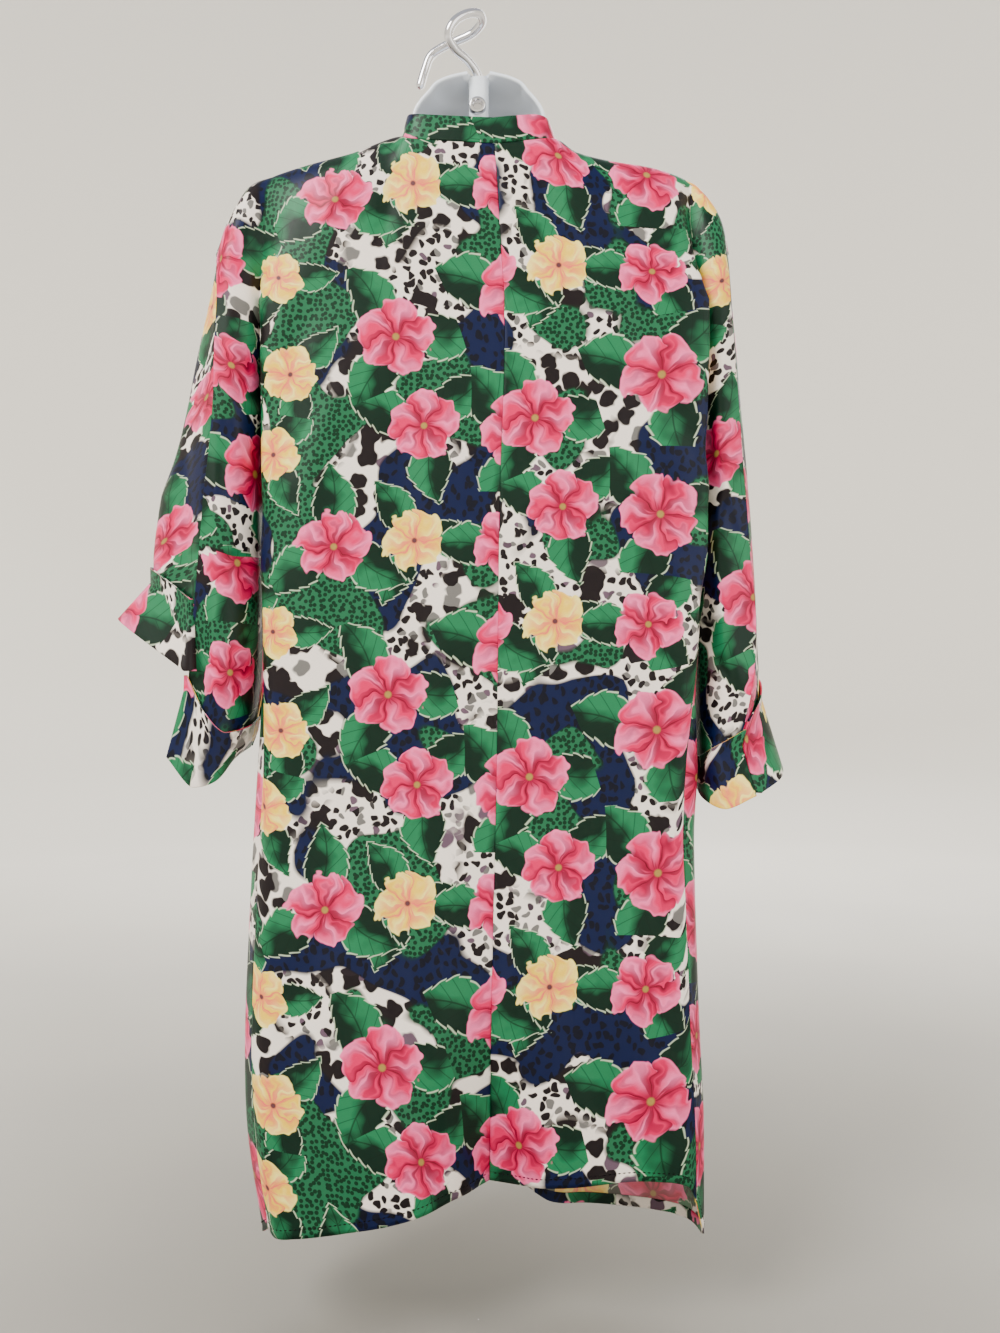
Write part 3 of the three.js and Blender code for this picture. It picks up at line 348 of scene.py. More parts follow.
def controls_of(side, stretch, z):
    """Controls of one stretch of the section at each level, x outwards."""
    body = {name: BODY[side].at(name, z) for name in BODY[side].columns}
    arm = {name: SLEEVE[side].at(name, z) for name in SLEEVE[side].columns}
    centre_x = CENTRE.at("x", z) * SIDES[side]
    joined = z >= UNDERARM_Z

    def valley(end):
        x = np.where(joined, body["end_x"], arm["under_x"])
        return flat(x, np.where(joined, body[end], arm["under_y"]))

    def of(table, name):
        return flat(table[name + "_x"], table[name + "_y"])

    if stretch == "body_back":
        spread = BACK_SPREAD
        points = [
            flat(centre_x, CENTRE.at("y", z)),
            flat(lerp(centre_x, body["fold_x"], spread["inner"]), body["back"]),
            flat(lerp(centre_x, body["fold_x"], spread["outer"]), body["back"]),
            flat(body["fold_x"] * spread["fold"], lerp(body["back"], body["fold_y"], spread["depth"])),
            of(body, "fold"),
            flat(body["end_x"], body["end_back"]),
        ]
    elif stretch == "body_front":
        end_y = np.where(joined, body["end_front"], body["end_back"])
        middle = flat(lerp(body["edge_x"], body["chest_x"], 0.5), body["chest_y"] + CHEST_LIFT)
        points = [of(body, "edge"), middle, of(body, "chest"), of(body, "side"), of(body, "turn"),
                  flat(body["end_x"], end_y)]
    elif stretch == "sleeve_back":
        points = [valley("end_back"), of(arm, "in"), of(arm, "back"), of(arm, "over")]
    else:
        points = [of(arm, "over"), of(arm, "out"), of(arm, "front"), of(arm, "inner"), valley("end_front")]
    return np.stack(points, axis=1)


def level_points(side, stretch, t, z):
    t, z = np.broadcast_arrays(np.asarray(t, float), np.asarray(z, float))
    flat_z = z.ravel()
    found = spline(controls_of(side, stretch, flat_z), t.ravel())
    points = np.column_stack([found[:, 0] * SIDES[side], found[:, 1], flat_z])
    return points.reshape(z.shape + (3,))


def columns_at(table, names, place):
    return np.stack([table.at(name, place) for name in names.split()], axis=-1)


def ridge_points(side, half, at):
    at = np.atleast_1d(np.asarray(at, float))
    rows = columns_at(RIDGE[side], "x y z", at)
    if half == "front":
        neck = columns_at(FRONT_NECK[side], "x y z", at)
        rows = np.where((at < NECK_POINT - 1e-6)[:, None], neck, rows)
    return rows * (SIDES[side], 1, 1)


def shoulder_points(ridge, foot, t, power):
    """Grid (column, row) from the ridge to the top level, for row places t."""
    t = t[None, :]
    turned = (1 - (1 - t) ** power[:, None]) ** (1 / power[:, None])
    ways = [lerp(ridge[:, k:k + 1], foot[:, k:k + 1], turned if k == 1 else t) for k in range(3)]
    return np.stack(ways, axis=-1)


def steps(count, start_seam, end_seam):
    """Places 0 to 1, closer together beside a seam."""
    near = np.array([0.15, 0.35, 0.65]) / count
    places = [np.linspace(0, 1, count + 1)]
    if start_seam:
        places.append(near)
    if end_seam:
        places.append(1 - near)
    return np.unique(np.concatenate(places))


def lengths(points, axis):
    """Running length of a grid of points along one of its axes, from 0."""
    run = np.linalg.norm(np.diff(points, axis=axis), axis=-1)
    start = np.zeros_like(np.take(run, [0], axis=axis))
    return np.concatenate([start, np.cumsum(run, axis=axis)], axis=axis)


def unit(vectors):
    """Vectors of the same ways with length 1."""
    return vectors / np.maximum(np.linalg.norm(vectors, axis=-1, keepdims=True), 1e-9)


def grid_normals(points, way):
    return unit(np.cross(np.gradient(points, axis=0), np.gradient(points, axis=1)) * way)


def follow(place, run, values):
    """Points of a line at some places along its running length."""
    return np.stack([np.interp(place, run, values[:, k]) for k in range(3)], axis=-1)


def closed(ids):
    """A grid of vertex numbers whose last column joins the first."""
    return np.concatenate([ids, ids[:, :1]], axis=1)


def grid_quads(ids, outward):
    """Faces over a grid of vertex numbers (column, row); outward is +1 or -1."""
    a, b = ids[:-1, :-1], ids[1:, :-1]
    c, d = ids[1:, 1:], ids[:-1, 1:]
    order = (a, b, c, d) if outward > 0 else (a, d, c, b)
    return np.stack(order, axis=-1).reshape(-1, 4)


# Meshes

def make_mesh(name, points, faces, uv=None, sharp_angle=None):
    """A smooth mesh from points in millimetres, with its cloth place in metres as UV."""
    mesh = bpy.data.meshes.new(name)
    mesh.from_pydata((np.asarray(points) * MM).tolist(), [], [list(map(int, f)) for f in faces])
    mesh.update()
    mesh.polygons.foreach_set("use_smooth", [True] * len(mesh.polygons))
    if uv is not None:
        layer = mesh.uv_layers.new(name="cloth")
        loops = np.empty(len(mesh.loops), int)
        mesh.loops.foreach_get("vertex_index", loops)
        layer.data.foreach_set("uv", (np.asarray(uv)[loops] * MM).ravel())
    if sharp_angle:
        mesh.set_sharp_from_angle(angle=math.radians(sharp_angle))
    made = bpy.data.objects.new(name, mesh)
    bpy.context.scene.collection.objects.link(made)
    return made


def dress(made, slot, node, *materials):
    """Gives a piece its materials and its place in the part's frame."""
    for material in materials:
        made.data.materials.append(material)
    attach(made, "root")
    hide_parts(node)
    return made


def shell(made, thickness, inner_material):
    """Gives a sheet its thickness inwards, with its wrong side in a second material."""
    solid = made.modifiers.new("thickness", "SOLIDIFY")
    solid.thickness = thickness * MM
    solid.offset = -1
    solid.use_even_offset = False
    solid.use_rim = True
    solid.material_offset = inner_material
    solid.material_offset_rim = 0
    return made


# Body panels

class Panel:
    """One half of one side: body and sleeve cut in one, split below the underarm."""

    def __init__(self, side, half):
        self.side, self.half = side, half
        self.sign = SIDES[side]
        self.back = half == "back"
        self.way = self.sign if self.back else -self.sign
        self.key = side + "_" + half
        self.node = half + "_" + side
        self.ridge_rows = np.linspace(0, 1, GRID["ridge"])[:-1] ** SHOULDER_GATHER
        self.upper = np.arange(YOKE_Z, UNDERARM_Z - 0.1, -STEP)
        self.upper[-1] = UNDERARM_Z
        self.joined = joined = len(self.ridge_rows) + len(self.upper)
        self.body = self.body_points()
        self.sleeve = self.sleeve_points(self.body[-1, :joined])
        self.body_uv = self.cloth_places(self.body, 0)
        last_joined = np.minimum(np.arange(self.sleeve.shape[1]), joined - 1)
        self.sleeve_uv = self.cloth_places(self.sleeve, self.body_uv[-1, last_joined, 0])
        self.body_normals = grid_normals(self.body, self.way)
        self.sleeve_normals = grid_normals(self.sleeve, self.way)
        shared = unit(self.body_normals[-1, :joined] + self.sleeve_normals[0, :joined])
        self.body_normals[-1, :joined] = shared
        self.sleeve_normals[0, :joined] = shared

    def cloth_places(self, points, start):
        """Place of each point on the flat cloth: across from the centre, and down from the yoke."""
        across = lengths(points, 0) + start
        down = lengths(points, 1)
        yoke_row = len(self.ridge_rows)
        return np.stack([across, down - down[:, yoke_row:yoke_row + 1]], axis=-1)

    def yoke(self, stretch, places, at):
        foot = level_points(self.side, stretch, places, YOKE_Z)
        power = lerp(SHOULDER_POWER, CORNER_POWER, np.clip(at - 1, 0, 1))
        return shoulder_points(ridge_points(self.side, self.half, at), foot, self.ridge_rows, power)

    def body_points(self):
        stretch = "body_" + self.half
        places = steps(GRID["body"], self.back, True)
        middle = np.arange(SLIT_Z, SCALE_FROM_Z, -STEP)
        rows = int((SCALE_FROM_Z - HEM_ABOUT_Z) / STEP)
        hem = HEM[self.key].at("z", places)
        lower = lerp(SCALE_FROM_Z, hem[:, None], np.linspace(0, 1, rows)[None, :])
        levels = np.concatenate([self.upper, middle])
        levels = np.broadcast_to(levels, (len(places), len(levels)))
        levels = np.concatenate([levels, lower], axis=1)
        sheet = level_points(self.side, stretch, places[:, None], levels)
        return np.concatenate([self.yoke(stretch, places, places), sheet], axis=1)

    def sleeve_points(self, valley):
        stretch = "sleeve_" + self.half
        outwards = steps(GRID[stretch], True, True)
        places = outwards if self.back else 1 - outwards
        end = CUFFS[self.key].at("top", places) - CUFF_LAP
        lower = lerp(SLIT_Z, end[:, None], np.linspace(0, 1, GRID["sleeve"])[None, :])
        upper = np.broadcast_to(self.upper, (len(places), len(self.upper)))
        levels = np.concatenate([upper, lower], axis=1)
        sheet = level_points(self.side, stretch, places[:, None], levels)
        points = np.concatenate([self.yoke(stretch, places, 1 + outwards), sheet], axis=1)
        points[0, :self.joined] = valley
        return points


def crease_heights(points, edge_distance, half):
    """How far each point stands off the smooth form."""
    x, z = points[..., 0], points[..., 2]
    height = np.zeros(x.shape)
    for x0, z0, x1, z1, width, rise in CREASES[half]:
        run, drop = x1 - x0, z1 - z0
        length = math.hypot(run, drop)
        along = ((x - x0) * run + (z - z0) * drop) / length
        off = ((x - x0) * drop - (z - z0) * run) / length
        part = along / length
        bow = CREASE_BOW * length * np.sin(np.clip(part, 0, 1) * math.pi * CREASE_WAVE)
        fade = share(part, *CREASE_START) * share(part, *CREASE_STOP)
        height += rise * np.exp(-((off + bow) / width) ** 2) * fade * fade * (3 - 2 * fade)
    return CREASE_GAIN * height * share(edge_distance, 0, CREASE_EDGE)


def seam_groove(distance):
    return -SEAM_DEPTH * np.exp(-(distance / SEAM_SPREAD) ** 2)


def creased(panel):
    """Adds the creases, which die out towards the panel's edges."""
    for name in ("body", "sleeve"):
        points, normals = getattr(panel, name), getattr(panel, name + "_normals")
        start, end = lengths(points, 0), lengths(points[::-1], 0)[::-1]
        top = lengths(points, 1)
        edge = np.minimum(np.minimum(start, end), top)
        if name == "body" and not panel.back:
            edge = np.minimum(end, top)
        height = crease_heights(points, edge, panel.half)
        setattr(panel, name, points + normals * height[..., None])


def sunk_seams(panel):
    """Lets the cloth dip where it meets its neighbour, both of them the same way."""
    outwards = np.array((panel.sign, 0.0, 0.0))
    below = np.arange(panel.body.shape[1])[None, :, None] >= panel.joined
    below_arm = np.arange(panel.sleeve.shape[1])[None, :, None] >= panel.joined
    from_side = seam_groove(lengths(panel.body[::-1], 0)[::-1][..., None]) * below
    from_under = seam_groove(lengths(panel.sleeve, 0)[..., None]) * below_arm
    from_over = seam_groove(lengths(panel.sleeve[::-1], 0)[::-1][..., None])
    dip = from_side * outwards
    if panel.back:
        dip = dip + seam_groove(lengths(panel.body, 0)[..., None]) * (0, 1, 0)
    panel.body = panel.body + dip
    panel.sleeve = panel.sleeve + (from_over - from_under) * outwards


def panel_object(panel, offset, materials):
    """Mesh of a whole panel, with the sleeve joined to the body above the underarm."""
    creased(panel)
    sunk_seams(panel)
    body_count = panel.body.shape[0] * panel.body.shape[1]
    body_ids = np.arange(body_count).reshape(panel.body.shape[:2])
    sleeve_ids = body_count + np.arange(panel.sleeve[..., 0].size).reshape(panel.sleeve.shape[:2])
    sleeve_ids[0, :panel.joined] = body_ids[-1, :panel.joined]
    points = np.concatenate([panel.body.reshape(-1, 3), panel.sleeve.reshape(-1, 3)])
    uv = np.concatenate([panel.body_uv.reshape(-1, 2), panel.sleeve_uv.reshape(-1, 2)])
    uv = uv * ((-panel.sign if panel.back else panel.sign), 1) + offset
    quads = np.concatenate([grid_quads(body_ids, panel.way), grid_quads(sleeve_ids, panel.way)])
    used = np.unique(quads)
    renumbered = np.zeros(len(points), int)
    renumbered[used] = np.arange(len(used))
    made = make_mesh("cloth_" + panel.node, points[used], renumbered[quads], uv[used])
    dress(made, "print_satin", panel.node, *materials)
    return shell(made, CLOTH, 1)


def jump_print(made):
    """Moves the print on the left sleeve below the line where it is pieced."""
    layer = made.data.uv_layers["cloth"].data
    for polygon in made.data.polygons:
        x, _, z = polygon.center / MM
        if x > TUCK_FROM_X and TUCK_END_Z < z < TUCK_Z:
            for loop in polygon.loop_indices:
                layer[loop].uv += Vector(TUCK_JUMP) * MM


def above_hem(panel, values, heights):
    """Values on a panel's body at some heights above its lower edge, column by column."""
    up = lengths(panel.body[:, ::-1], 1)
    return np.stack([follow(heights, run, column[::-1]) for run, column in zip(up, values)])


def make_stitches(panel, material):
    """A row of short thread dashes that follow the hem."""
    line = above_hem(panel, panel.body, STITCH["above"])
    ways = above_hem(panel, panel.body_normals, STITCH["above"])
    run = lengths(line[:, None], 0)[:, 0]
    points, faces = [], []
    for start in np.arange(STITCH["pitch"], run[-1] - STITCH["pitch"], STITCH["pitch"]):
        a, b = follow(start, run, line), follow(start + STITCH["length"], run, line)
        n = unit(follow(start, run, ways))
        side = unit(np.cross(b - a, n)) * STITCH["width"] / 2
        middle = (a + b) / 2 + n * STITCH["lift"]
        sink = n * STITCH["sink"]
        k = len(points)
        points += [a - sink, middle + side, middle + n * STITCH["crown"], middle - side, b - sink]
        faces += [(k, k + 1, k + 2), (k, k + 2, k + 3), (k + 4, k + 2, k + 1), (k + 4, k + 3, k + 2),
                  (k, k + 3, k + 1), (k + 4, k + 1, k + 3)]
    made = make_mesh("hem_stitches_" + panel.node, np.array(points), faces)
    return dress(made, "print_satin", panel.node, material)


def make_turn_up(panel, offset, material):
    """The hem's turned up edge on the inside, with its right side facing in."""
    levels = np.linspace(0.2, HEM_TURN, 6)
    normals = unit(above_hem(panel, panel.body_normals, levels))
    inner = above_hem(panel, panel.body, levels) - normals * (CLOTH + HEM_LIFT)
    made = strip_object("hem_turn_up_" + panel.node, inner, -normals, HEM_THICK, panel.way, offset)
    return dress(made, "print_satin", panel.node, material)


# Folded strips: cuffs, bands and the form

def rings(outer, normals, thickness, cap_steps=5):
    """Closed sections round a strip: its outer face, a round edge, its inner face and another."""
    half = thickness / 2
    middle = outer - normals * half
    turns = np.linspace(0, math.pi, cap_steps + 1)[1:-1]

    def cap(row, way, sign):
        n = normals[:, row] * sign
        return [middle[:, row] + half * (math.cos(a) * n + math.sin(a) * way) for a in turns]

    columns = [outer[:, k] for k in range(outer.shape[1])]
    columns += cap(-1, unit(outer[:, -1] - outer[:, -2]), 1)
    columns += [middle[:, k] - normals[:, k] * half for k in range(outer.shape[1] - 1, -1, -1)]
    columns += cap(0, unit(outer[:, 0] - outer[:, 1]), -1)
    return np.stack(columns, axis=1)


def strip_object(name, outer, normals, thickness, way, offset=(0, 0)):
    """Mesh of a folded strip with closed ends."""
    loops = rings(outer, normals, thickness)
    count, around = loops.shape[:2]
    ids = np.arange(count * around).reshape(count, around)
    quads = grid_quads(closed(ids), way).tolist()
    first, last = ids[0].tolist(), ids[-1].tolist()
    quads += [first if way > 0 else first[::-1], last[::-1] if way > 0 else last]
    across = lengths(outer, 0).mean(axis=1)
    around_length = lengths(loops, 1).mean(axis=0)
    uv = np.stack(np.meshgrid(across, around_length, indexing="ij"), axis=-1) + offset
    return make_mesh(name, loops.reshape(-1, 3), quads, uv.reshape(-1, 2))


def sleeve_normals(side, stretch, place, z):
    a = level_points(side, stretch, np.maximum(place - BESIDE, 0), z)
    t = level_points(side, stretch, np.minimum(place + BESIDE, 1), z) - a
    return unit(np.stack([t[..., 1], -t[..., 0], np.zeros(t.shape[:-1])], axis=-1) * -SIDES[side])


def cuff_grid(side, half):
    """Outer face of a turned back cuff (column, row), from its free edge to its folded foot."""
    table = CUFFS[side + "_" + half]
    stretch = "sleeve_" + half
    places = np.linspace(*CUFF_ENDS, 61)

    def on_sleeve(z):
        lift = sleeve_normals(side, stretch, places, z) * (CAD_BAND + CUFF_LIFT)
        return level_points(side, stretch, places, z) + lift

    top = table.at("top", places)
    foot = columns_at(table, "foot_x foot_y foot_z", places) * (SIDES[side], 1, 1)
    lap = on_sleeve(top - CUFF_LAP)
    columns = [on_sleeve(top - CUFF_LAP * k / 5) for k in range(5)]
    columns += [lerp(lap, foot, t) for t in np.linspace(0, 1, 15)]
    grid = np.stack(columns, axis=1)
    down = np.linspace(0, 1, grid.shape[1])[:, None]
    if half == "front":
        reach = lerp(CUFF_UNDER_TOP, 1, down)
        under = grid[0] + np.array((-SIDES[side] * CUFF_UNDER, -CUFF_DEEP, 0)) * reach
        return np.concatenate([under[None], grid])
    over = grid[-1] + np.array((SIDES[side] * CUFF_OVER, -1.0, 0)) * (1 - down)
    return np.concatenate([grid, over[None]])


def make_cuff(side, half, offset, material):
    outer = cuff_grid(side, half)
    way = SIDES[side]
    name = "turned_cuff_%s_%s" % (side, half)
    made = strip_object(name, outer, grid_normals(outer, way), FOLDED, way, offset)
    dress(made, "cuff_satin", "cuff_%s_%s" % (side, half), material)
    return made


def make_band(name, node, outer, way, offset, material):
    made = strip_object(name, outer, grid_normals(outer, way), FOLDED, way, offset)
    dress(made, "band_satin", node, material)
    return made


def neck_band_grid():
    s = np.linspace(-1, 1, 121)
    at = np.minimum(np.abs(s), 1) * NECK_POINT
    base = np.where((s < 0)[:, None], ridge_points("right", "back", at), ridge_points("left", "back", at))
    base[:, 2] += BAND_GAP
    rise = BAND_RISE.at("rise", s)
    step = np.column_stack([-base[:, 0] * BAND_LEAN, -BAND_SAG * (1 - s * s), rise])
    t = np.linspace(1, 0, GRID["band"])[None, :, None]
    return base[:, None] + step[:, None] * t


def front_band_grid(side):
    sign = SIDES[side]
    t = np.linspace(0, 1, 60)
    base = ridge_points(side, "front", NECK_POINT * BAND_NECK_END * (1 - t))
    up = (1 - t) ** BAND_TURN
    x, y, z = (lerp(low, high, up) for low, high in BAND_NECK_WAY)
    way = np.column_stack([-sign * x, y, z])
    z = np.linspace(YOKE_Z, HEM[side + "_front"].at("z", 0), 180)
    edge = level_points(side, "body_front", 0, z)
    base = np.concatenate([base, edge])
    rise = BAND_END_RISE * share(z, z[-1] + BAND_END_LENGTH, z[-1])
    level_way = np.column_stack([np.full(len(z), -sign * BAND_WAY[0]), np.full(len(z), BAND_WAY[1]), rise])
    way = np.concatenate([unit(way), level_way])
    reach = BAND_GAP + BAND_WIDTH * np.linspace(1, 0, GRID["band"])[None, :, None]
    return base[:, None] + way[:, None] * reach


# Form, nut and hook

def form_grid():
    """Outer face of the form (level, place round it from rim to rim)."""
    top, neck, shoulder, foot = FORM_LEVELS
    z = np.concatenate([np.linspace(top, neck, 14)[:-1], np.arange(neck, shoulder, -3),
                        np.linspace(shoulder, foot, 90)])
    half, depth = FORM.at("half", z)[:, None], FORM.at("depth", z)[:, None]
    angle = np.linspace(0, math.pi, 91)[None, :]
    across = np.cos(angle)
    x = -half * np.sign(across) * np.abs(across) ** FORM_SQUARE
    high = share(z, *FORM_SHAPING)[:, None]
    tuck = SHOULDER_TUCK * high * share(np.abs(x), *FORM_TUCK_X)
    y = FORM_BACK_Y - tuck - depth * np.abs(np.sin(angle)) ** FORM_SQUARE
    behind = np.maximum(y - SHOULDER_MID_Y, 0) * SHOULDER_FALL
    return np.stack([x, y, z[:, None] - behind * high * share(np.abs(x), *FORM_FALL_X)], axis=-1)


def lathe(name, profile, sides, place):
    """Mesh turned from (radius, height) pairs, round the Z axis and then moved."""
    angle = np.linspace(0, 2 * math.pi, sides, endpoint=False)
    points = [(r * math.cos(a), r * math.sin(a), h) for r, h in profile for a in angle]
    ids = np.arange(len(points)).reshape(len(profile), sides)
    quads = grid_quads(closed(ids), -1).tolist() + [ids[0, ::-1].tolist(), ids[-1].tolist()]
    return make_mesh(name, np.array(points) + place, quads, sharp_angle=40)


def make_form(material):
    outer = form_grid()
    made = strip_object("form_shell", outer, grid_normals(outer, -1), FORM_WALL, -1)
    dress(made, "form_plastic", "hanging_form", material)
    boss = lathe("form_boss", boss_profile(), 48, (0, BOSS["y"], 0))
    dress(boss, "form_plastic", "hanging_form", material)


def boss_profile():
    radius, foot, top = BOSS["radius"], BOSS["foot"], BOSS["top"]
    bore = WIRE / 2 + 0.2
    return [
        (bore, foot + 1), (radius - 1.5, foot), (radius - 0.5, foot + 0.5), (radius, foot + 1.6),
        (radius, top - 6), (radius + 0.8, top - 2.5), (radius + 1.2, top), (bore, top + 0.4),
    ]


def make_nut(material):
    radius, bore, length = NUT["radius"], NUT["bore"], NUT["length"]
    profile = [
        (0.01, 0), (radius - 0.6, 0), (radius, 0.6), (radius, length - 1.2), (radius - 0.5, length - 0.3),
        (radius - 1.2, length), (bore + 0.3, length), (bore, length - 0.4), (bore, length - NUT["depth"]),
        (0.01, length - NUT["depth"]),
    ]
    made = lathe("nut", profile, 48, (0, 0, 0))
    turn = np.array([(v.co.x, v.co.z, -v.co.y) for v in made.data.vertices])
    place = np.array((NUT["x"], BOSS["flat_y"] + 0.3, NUT["z"])) * MM
    made.data.vertices.foreach_set("co", (turn + place).ravel())
    made.data.update()
    dress(made, "nut_chrome", "form_nut", material)


def make_hook(material):
    path = np.array(HOOK_PATH, float)
    count = 240
    line = np.concatenate([spline(path[None], np.array([t])) for t in np.linspace(0, 1, count)])
    tangents = unit(np.gradient(line, axis=0))
    normal = np.array((1.0, 0, 0))
    sides = 24
    angle = np.linspace(0, 2 * math.pi, sides, endpoint=False)[:, None]
    rows = []
    for centre, along in zip(line, tangents):
        normal = unit(normal - along * normal.dot(along))
        other = np.cross(along, normal)
        rows.append(centre + WIRE / 2 * (np.cos(angle) * normal + np.sin(angle) * other))
    for step, size in ((1, 0.92), (2, 0.72), (3, 0.35)):
        tip = line[-1] + tangents[-1] * WIRE / 2 * (1 - size ** 2) ** 0.5
        rows.append(tip + (rows[count - 1] - line[-1]) * size)
    points = np.concatenate(rows)
    ids = np.arange(len(points)).reshape(-1, sides)
    quads = grid_quads(closed(ids), 1).tolist() + [ids[0].tolist(), ids[-1, ::-1].tolist()]
    dress(make_mesh("hook_wire", points, quads), "hook_chrome", "hook", material)


# Materials

def colour(red, green, blue):
    """Linear colour from the values seen in a picture."""
    def linear(c):
        return c / 12.92 if c <= 0.04045 else ((c + 0.055) / 1.055) ** 2.4
    return (linear(red), linear(green), linear(blue), 1)


class Graph:
    """Short calls for the nodes of one tree."""

    def __init__(self, tree):
        self.tree = tree

    def node(self, kind, **settings):
        made = self.tree.nodes.new(kind)
        for key, value in settings.items():
            setattr(made, key, value)
        return made

    def feed(self, socket, value):
        if isinstance(value, bpy.types.NodeSocket):
            self.tree.links.new(value, socket)
        else:
            socket.default_value = value

    def feed_all(self, made, values):
        for socket, value in zip(made.inputs, values):
            self.feed(socket, value)

    def math(self, operation, *values, clamp=False):
        made = self.node("ShaderNodeMath", operation=operation, use_clamp=clamp)
        self.feed_all(made, values)
        return made.outputs[0]

    def times(self, a, b):
        return self.math("MULTIPLY", a, b)

    def fma(self, a, b, c):
        """a * b + c."""
        return self.math("MULTIPLY_ADD", a, b, c)

    def minus(self, a, b):
        return self.math("SUBTRACT", a, b)

    def vector(self, operation, *values):
        made = self.node("ShaderNodeVectorMath", operation=operation)
        self.feed_all(made, values)
        return made.outputs[0]

    def line(self, value, gain, lift):
        """value * gain + lift, kept between 0 and 1."""
        return self.math("MULTIPLY_ADD", value, gain, lift, clamp=True)

    def combine(self, x, y):
        made = self.node("ShaderNodeCombineXYZ")
        self.feed_all(made, (x, y))
        return made.outputs[0]

    def separate(self, vector):
        made = self.node("ShaderNodeSeparateXYZ")
        self.feed(made.inputs[0], vector)
        return made.outputs[0], made.outputs[1]

    def noise(self, vector, scale, detail=2.0):
        made = self.node("ShaderNodeTexNoise", noise_dimensions="2D")
        self.feed(made.inputs["Vector"], vector)
        made.inputs["Scale"].default_value = scale
        made.inputs["Detail"].default_value = detail
        return made

    def cells(self, vector, scale, randomness=1.0):
        made = self.node("ShaderNodeTexVoronoi", voronoi_dimensions="2D")
        self.feed(made.inputs["Vector"], vector)
        made.inputs["Scale"].default_value = scale
        made.inputs["Randomness"].default_value = randomness
        return made

    def two_parts(self, shade):
        """Red and green of a colour."""
        made = self.node("ShaderNodeSeparateColor")
        self.feed(made.inputs[0], shade)
        return made.outputs[0], made.outputs[1]

    def stray(self, vector, noise, reach):
        """A place moved a little by a noise."""
        red, green = self.two_parts(noise.outputs[1])
        step = self.combine(self.times(red, reach), self.times(green, reach))
        return self.vector("ADD", vector, step)

    def solid_noise(self, scale, detail=2.0):
        """A noise in the object's own space."""
        made = self.node("ShaderNodeTexNoise")
        made.inputs["Scale"].default_value = scale
        made.inputs["Detail"].default_value = detail
        self.feed(made.inputs["Vector"], self.node("ShaderNodeTexCoord").outputs["Object"])
        return made.outputs[0]

    def bump(self, shader, height, strength, distance):
        made = self.node("ShaderNodeBump")
        made.inputs["Strength"].default_value = strength
        made.inputs["Distance"].default_value = distance
        self.feed(made.inputs["Height"], height)
        self.feed(shader.inputs["Normal"], made.outputs[0])

    def mix(self, factor, first, second):
        made = self.node("ShaderNodeMix", data_type="RGBA")
        self.feed(made.inputs[0], factor)
        self.feed(made.inputs[6], first)
        self.feed(made.inputs[7], second)
        return made.outputs[2]


SOCKETS = {"vector": "NodeSocketVector", "colour": "NodeSocketColor", "value": "NodeSocketFloat"}


def new_group(name, inputs, outputs):
    """A node group; returns its graph, its input sockets by name and its output node."""
    tree = bpy.data.node_groups.new(name, "ShaderNodeTree")
    for label, kind in inputs:
        tree.interface.new_socket(name=label, in_out="INPUT", socket_type=SOCKETS[kind])
    for label, kind in outputs:
        tree.interface.new_socket(name=label, in_out="OUTPUT", socket_type=SOCKETS[kind])
    graph = Graph(tree)
    inside = graph.node("NodeGroupInput")
    return graph, inside.outputs, graph.node("NodeGroupOutput").inputs


def flower_group():
    """A five petalled flower over three leaves, from a place whose petals end at 1."""
    colours = ("Petal", "Light", "Vein", "Heart", "Dark", "Bright", "Rib", "Rim")
    inputs = [("X", "value"), ("Y", "value"), ("Seed", "value")] + [(name, "colour") for name in colours]
    outputs = [("Colour", "colour"), ("Mask", "value"), ("Leaf", "colour"), ("Leaf mask", "value")]
    g, given, result = new_group("flower", inputs, outputs)
    x, y, seed = given["X"], given["Y"], given["Seed"]
    radius = g.math("SQRT", g.fma(x, x, g.times(y, y)))
    turn = g.times(g.math("ARCTAN2", y, x), 1 / (2 * math.pi))
    wobble = g.noise(g.combine(g.fma(seed, 3.7, x), y), 1.9, 1.0).outputs[0]
    flower, mask = draw_flower(g, given, radius, turn, wobble)
    g.feed(result["Colour"], flower)
    g.feed(result["Mask"], mask)
    leaf, leaf_mask = draw_leaf(g, given, radius, g.fma(seed, 0.11, turn), wobble)
    g.feed(result["Leaf"], leaf)
    g.feed(result["Leaf mask"], leaf_mask)
    return g.tree


def draw_flower(g, given, radius, turn, wobble):
    """Petals with crimson creases between them, fine streaks and a pale frilled edge."""
    petal = g.fma(turn, 5, g.times(wobble, 0.9))
    s = g.math("FRACT", petal)
    arch = g.math("POWER", g.math("SINE", g.times(s, math.pi)), 0.45)
    fine = g.noise(g.combine(g.times(petal, 5), g.times(radius, 1.4)), 1.0, 0.0).outputs[0]
    edge = g.fma(arch, 0.22, g.fma(wobble, 0.42, 0.48))
    edge = g.fma(fine, 0.12, edge)
    inset = g.minus(edge, radius)
    middle = g.math("ABSOLUTE", g.minus(s, 0.62))
    light = g.times(g.line(middle, -3.2, 1.0), g.line(radius, 2.2, -0.3))
    streak = g.times(g.line(fine, 8, -3.7), g.line(radius, -1.5, 1.5))
    crease = g.times(g.line(s, -5.5, 1.05), g.line(radius, -0.8, 1.3))
    made = g.mix(light, given["Petal"], given["Light"])
    made = g.mix(g.line(inset, -9, 0.9), made, given["Light"])
    crease = g.math("MAXIMUM", crease, g.line(radius, -2.2, 0.85))
    made = g.mix(g.math("MAXIMUM", g.times(streak, 0.7), crease), made, given["Vein"])
    made = g.mix(g.line(radius, -22, 2.4), made, given["Heart"])
    return made, g.line(inset, 30, 0.5)


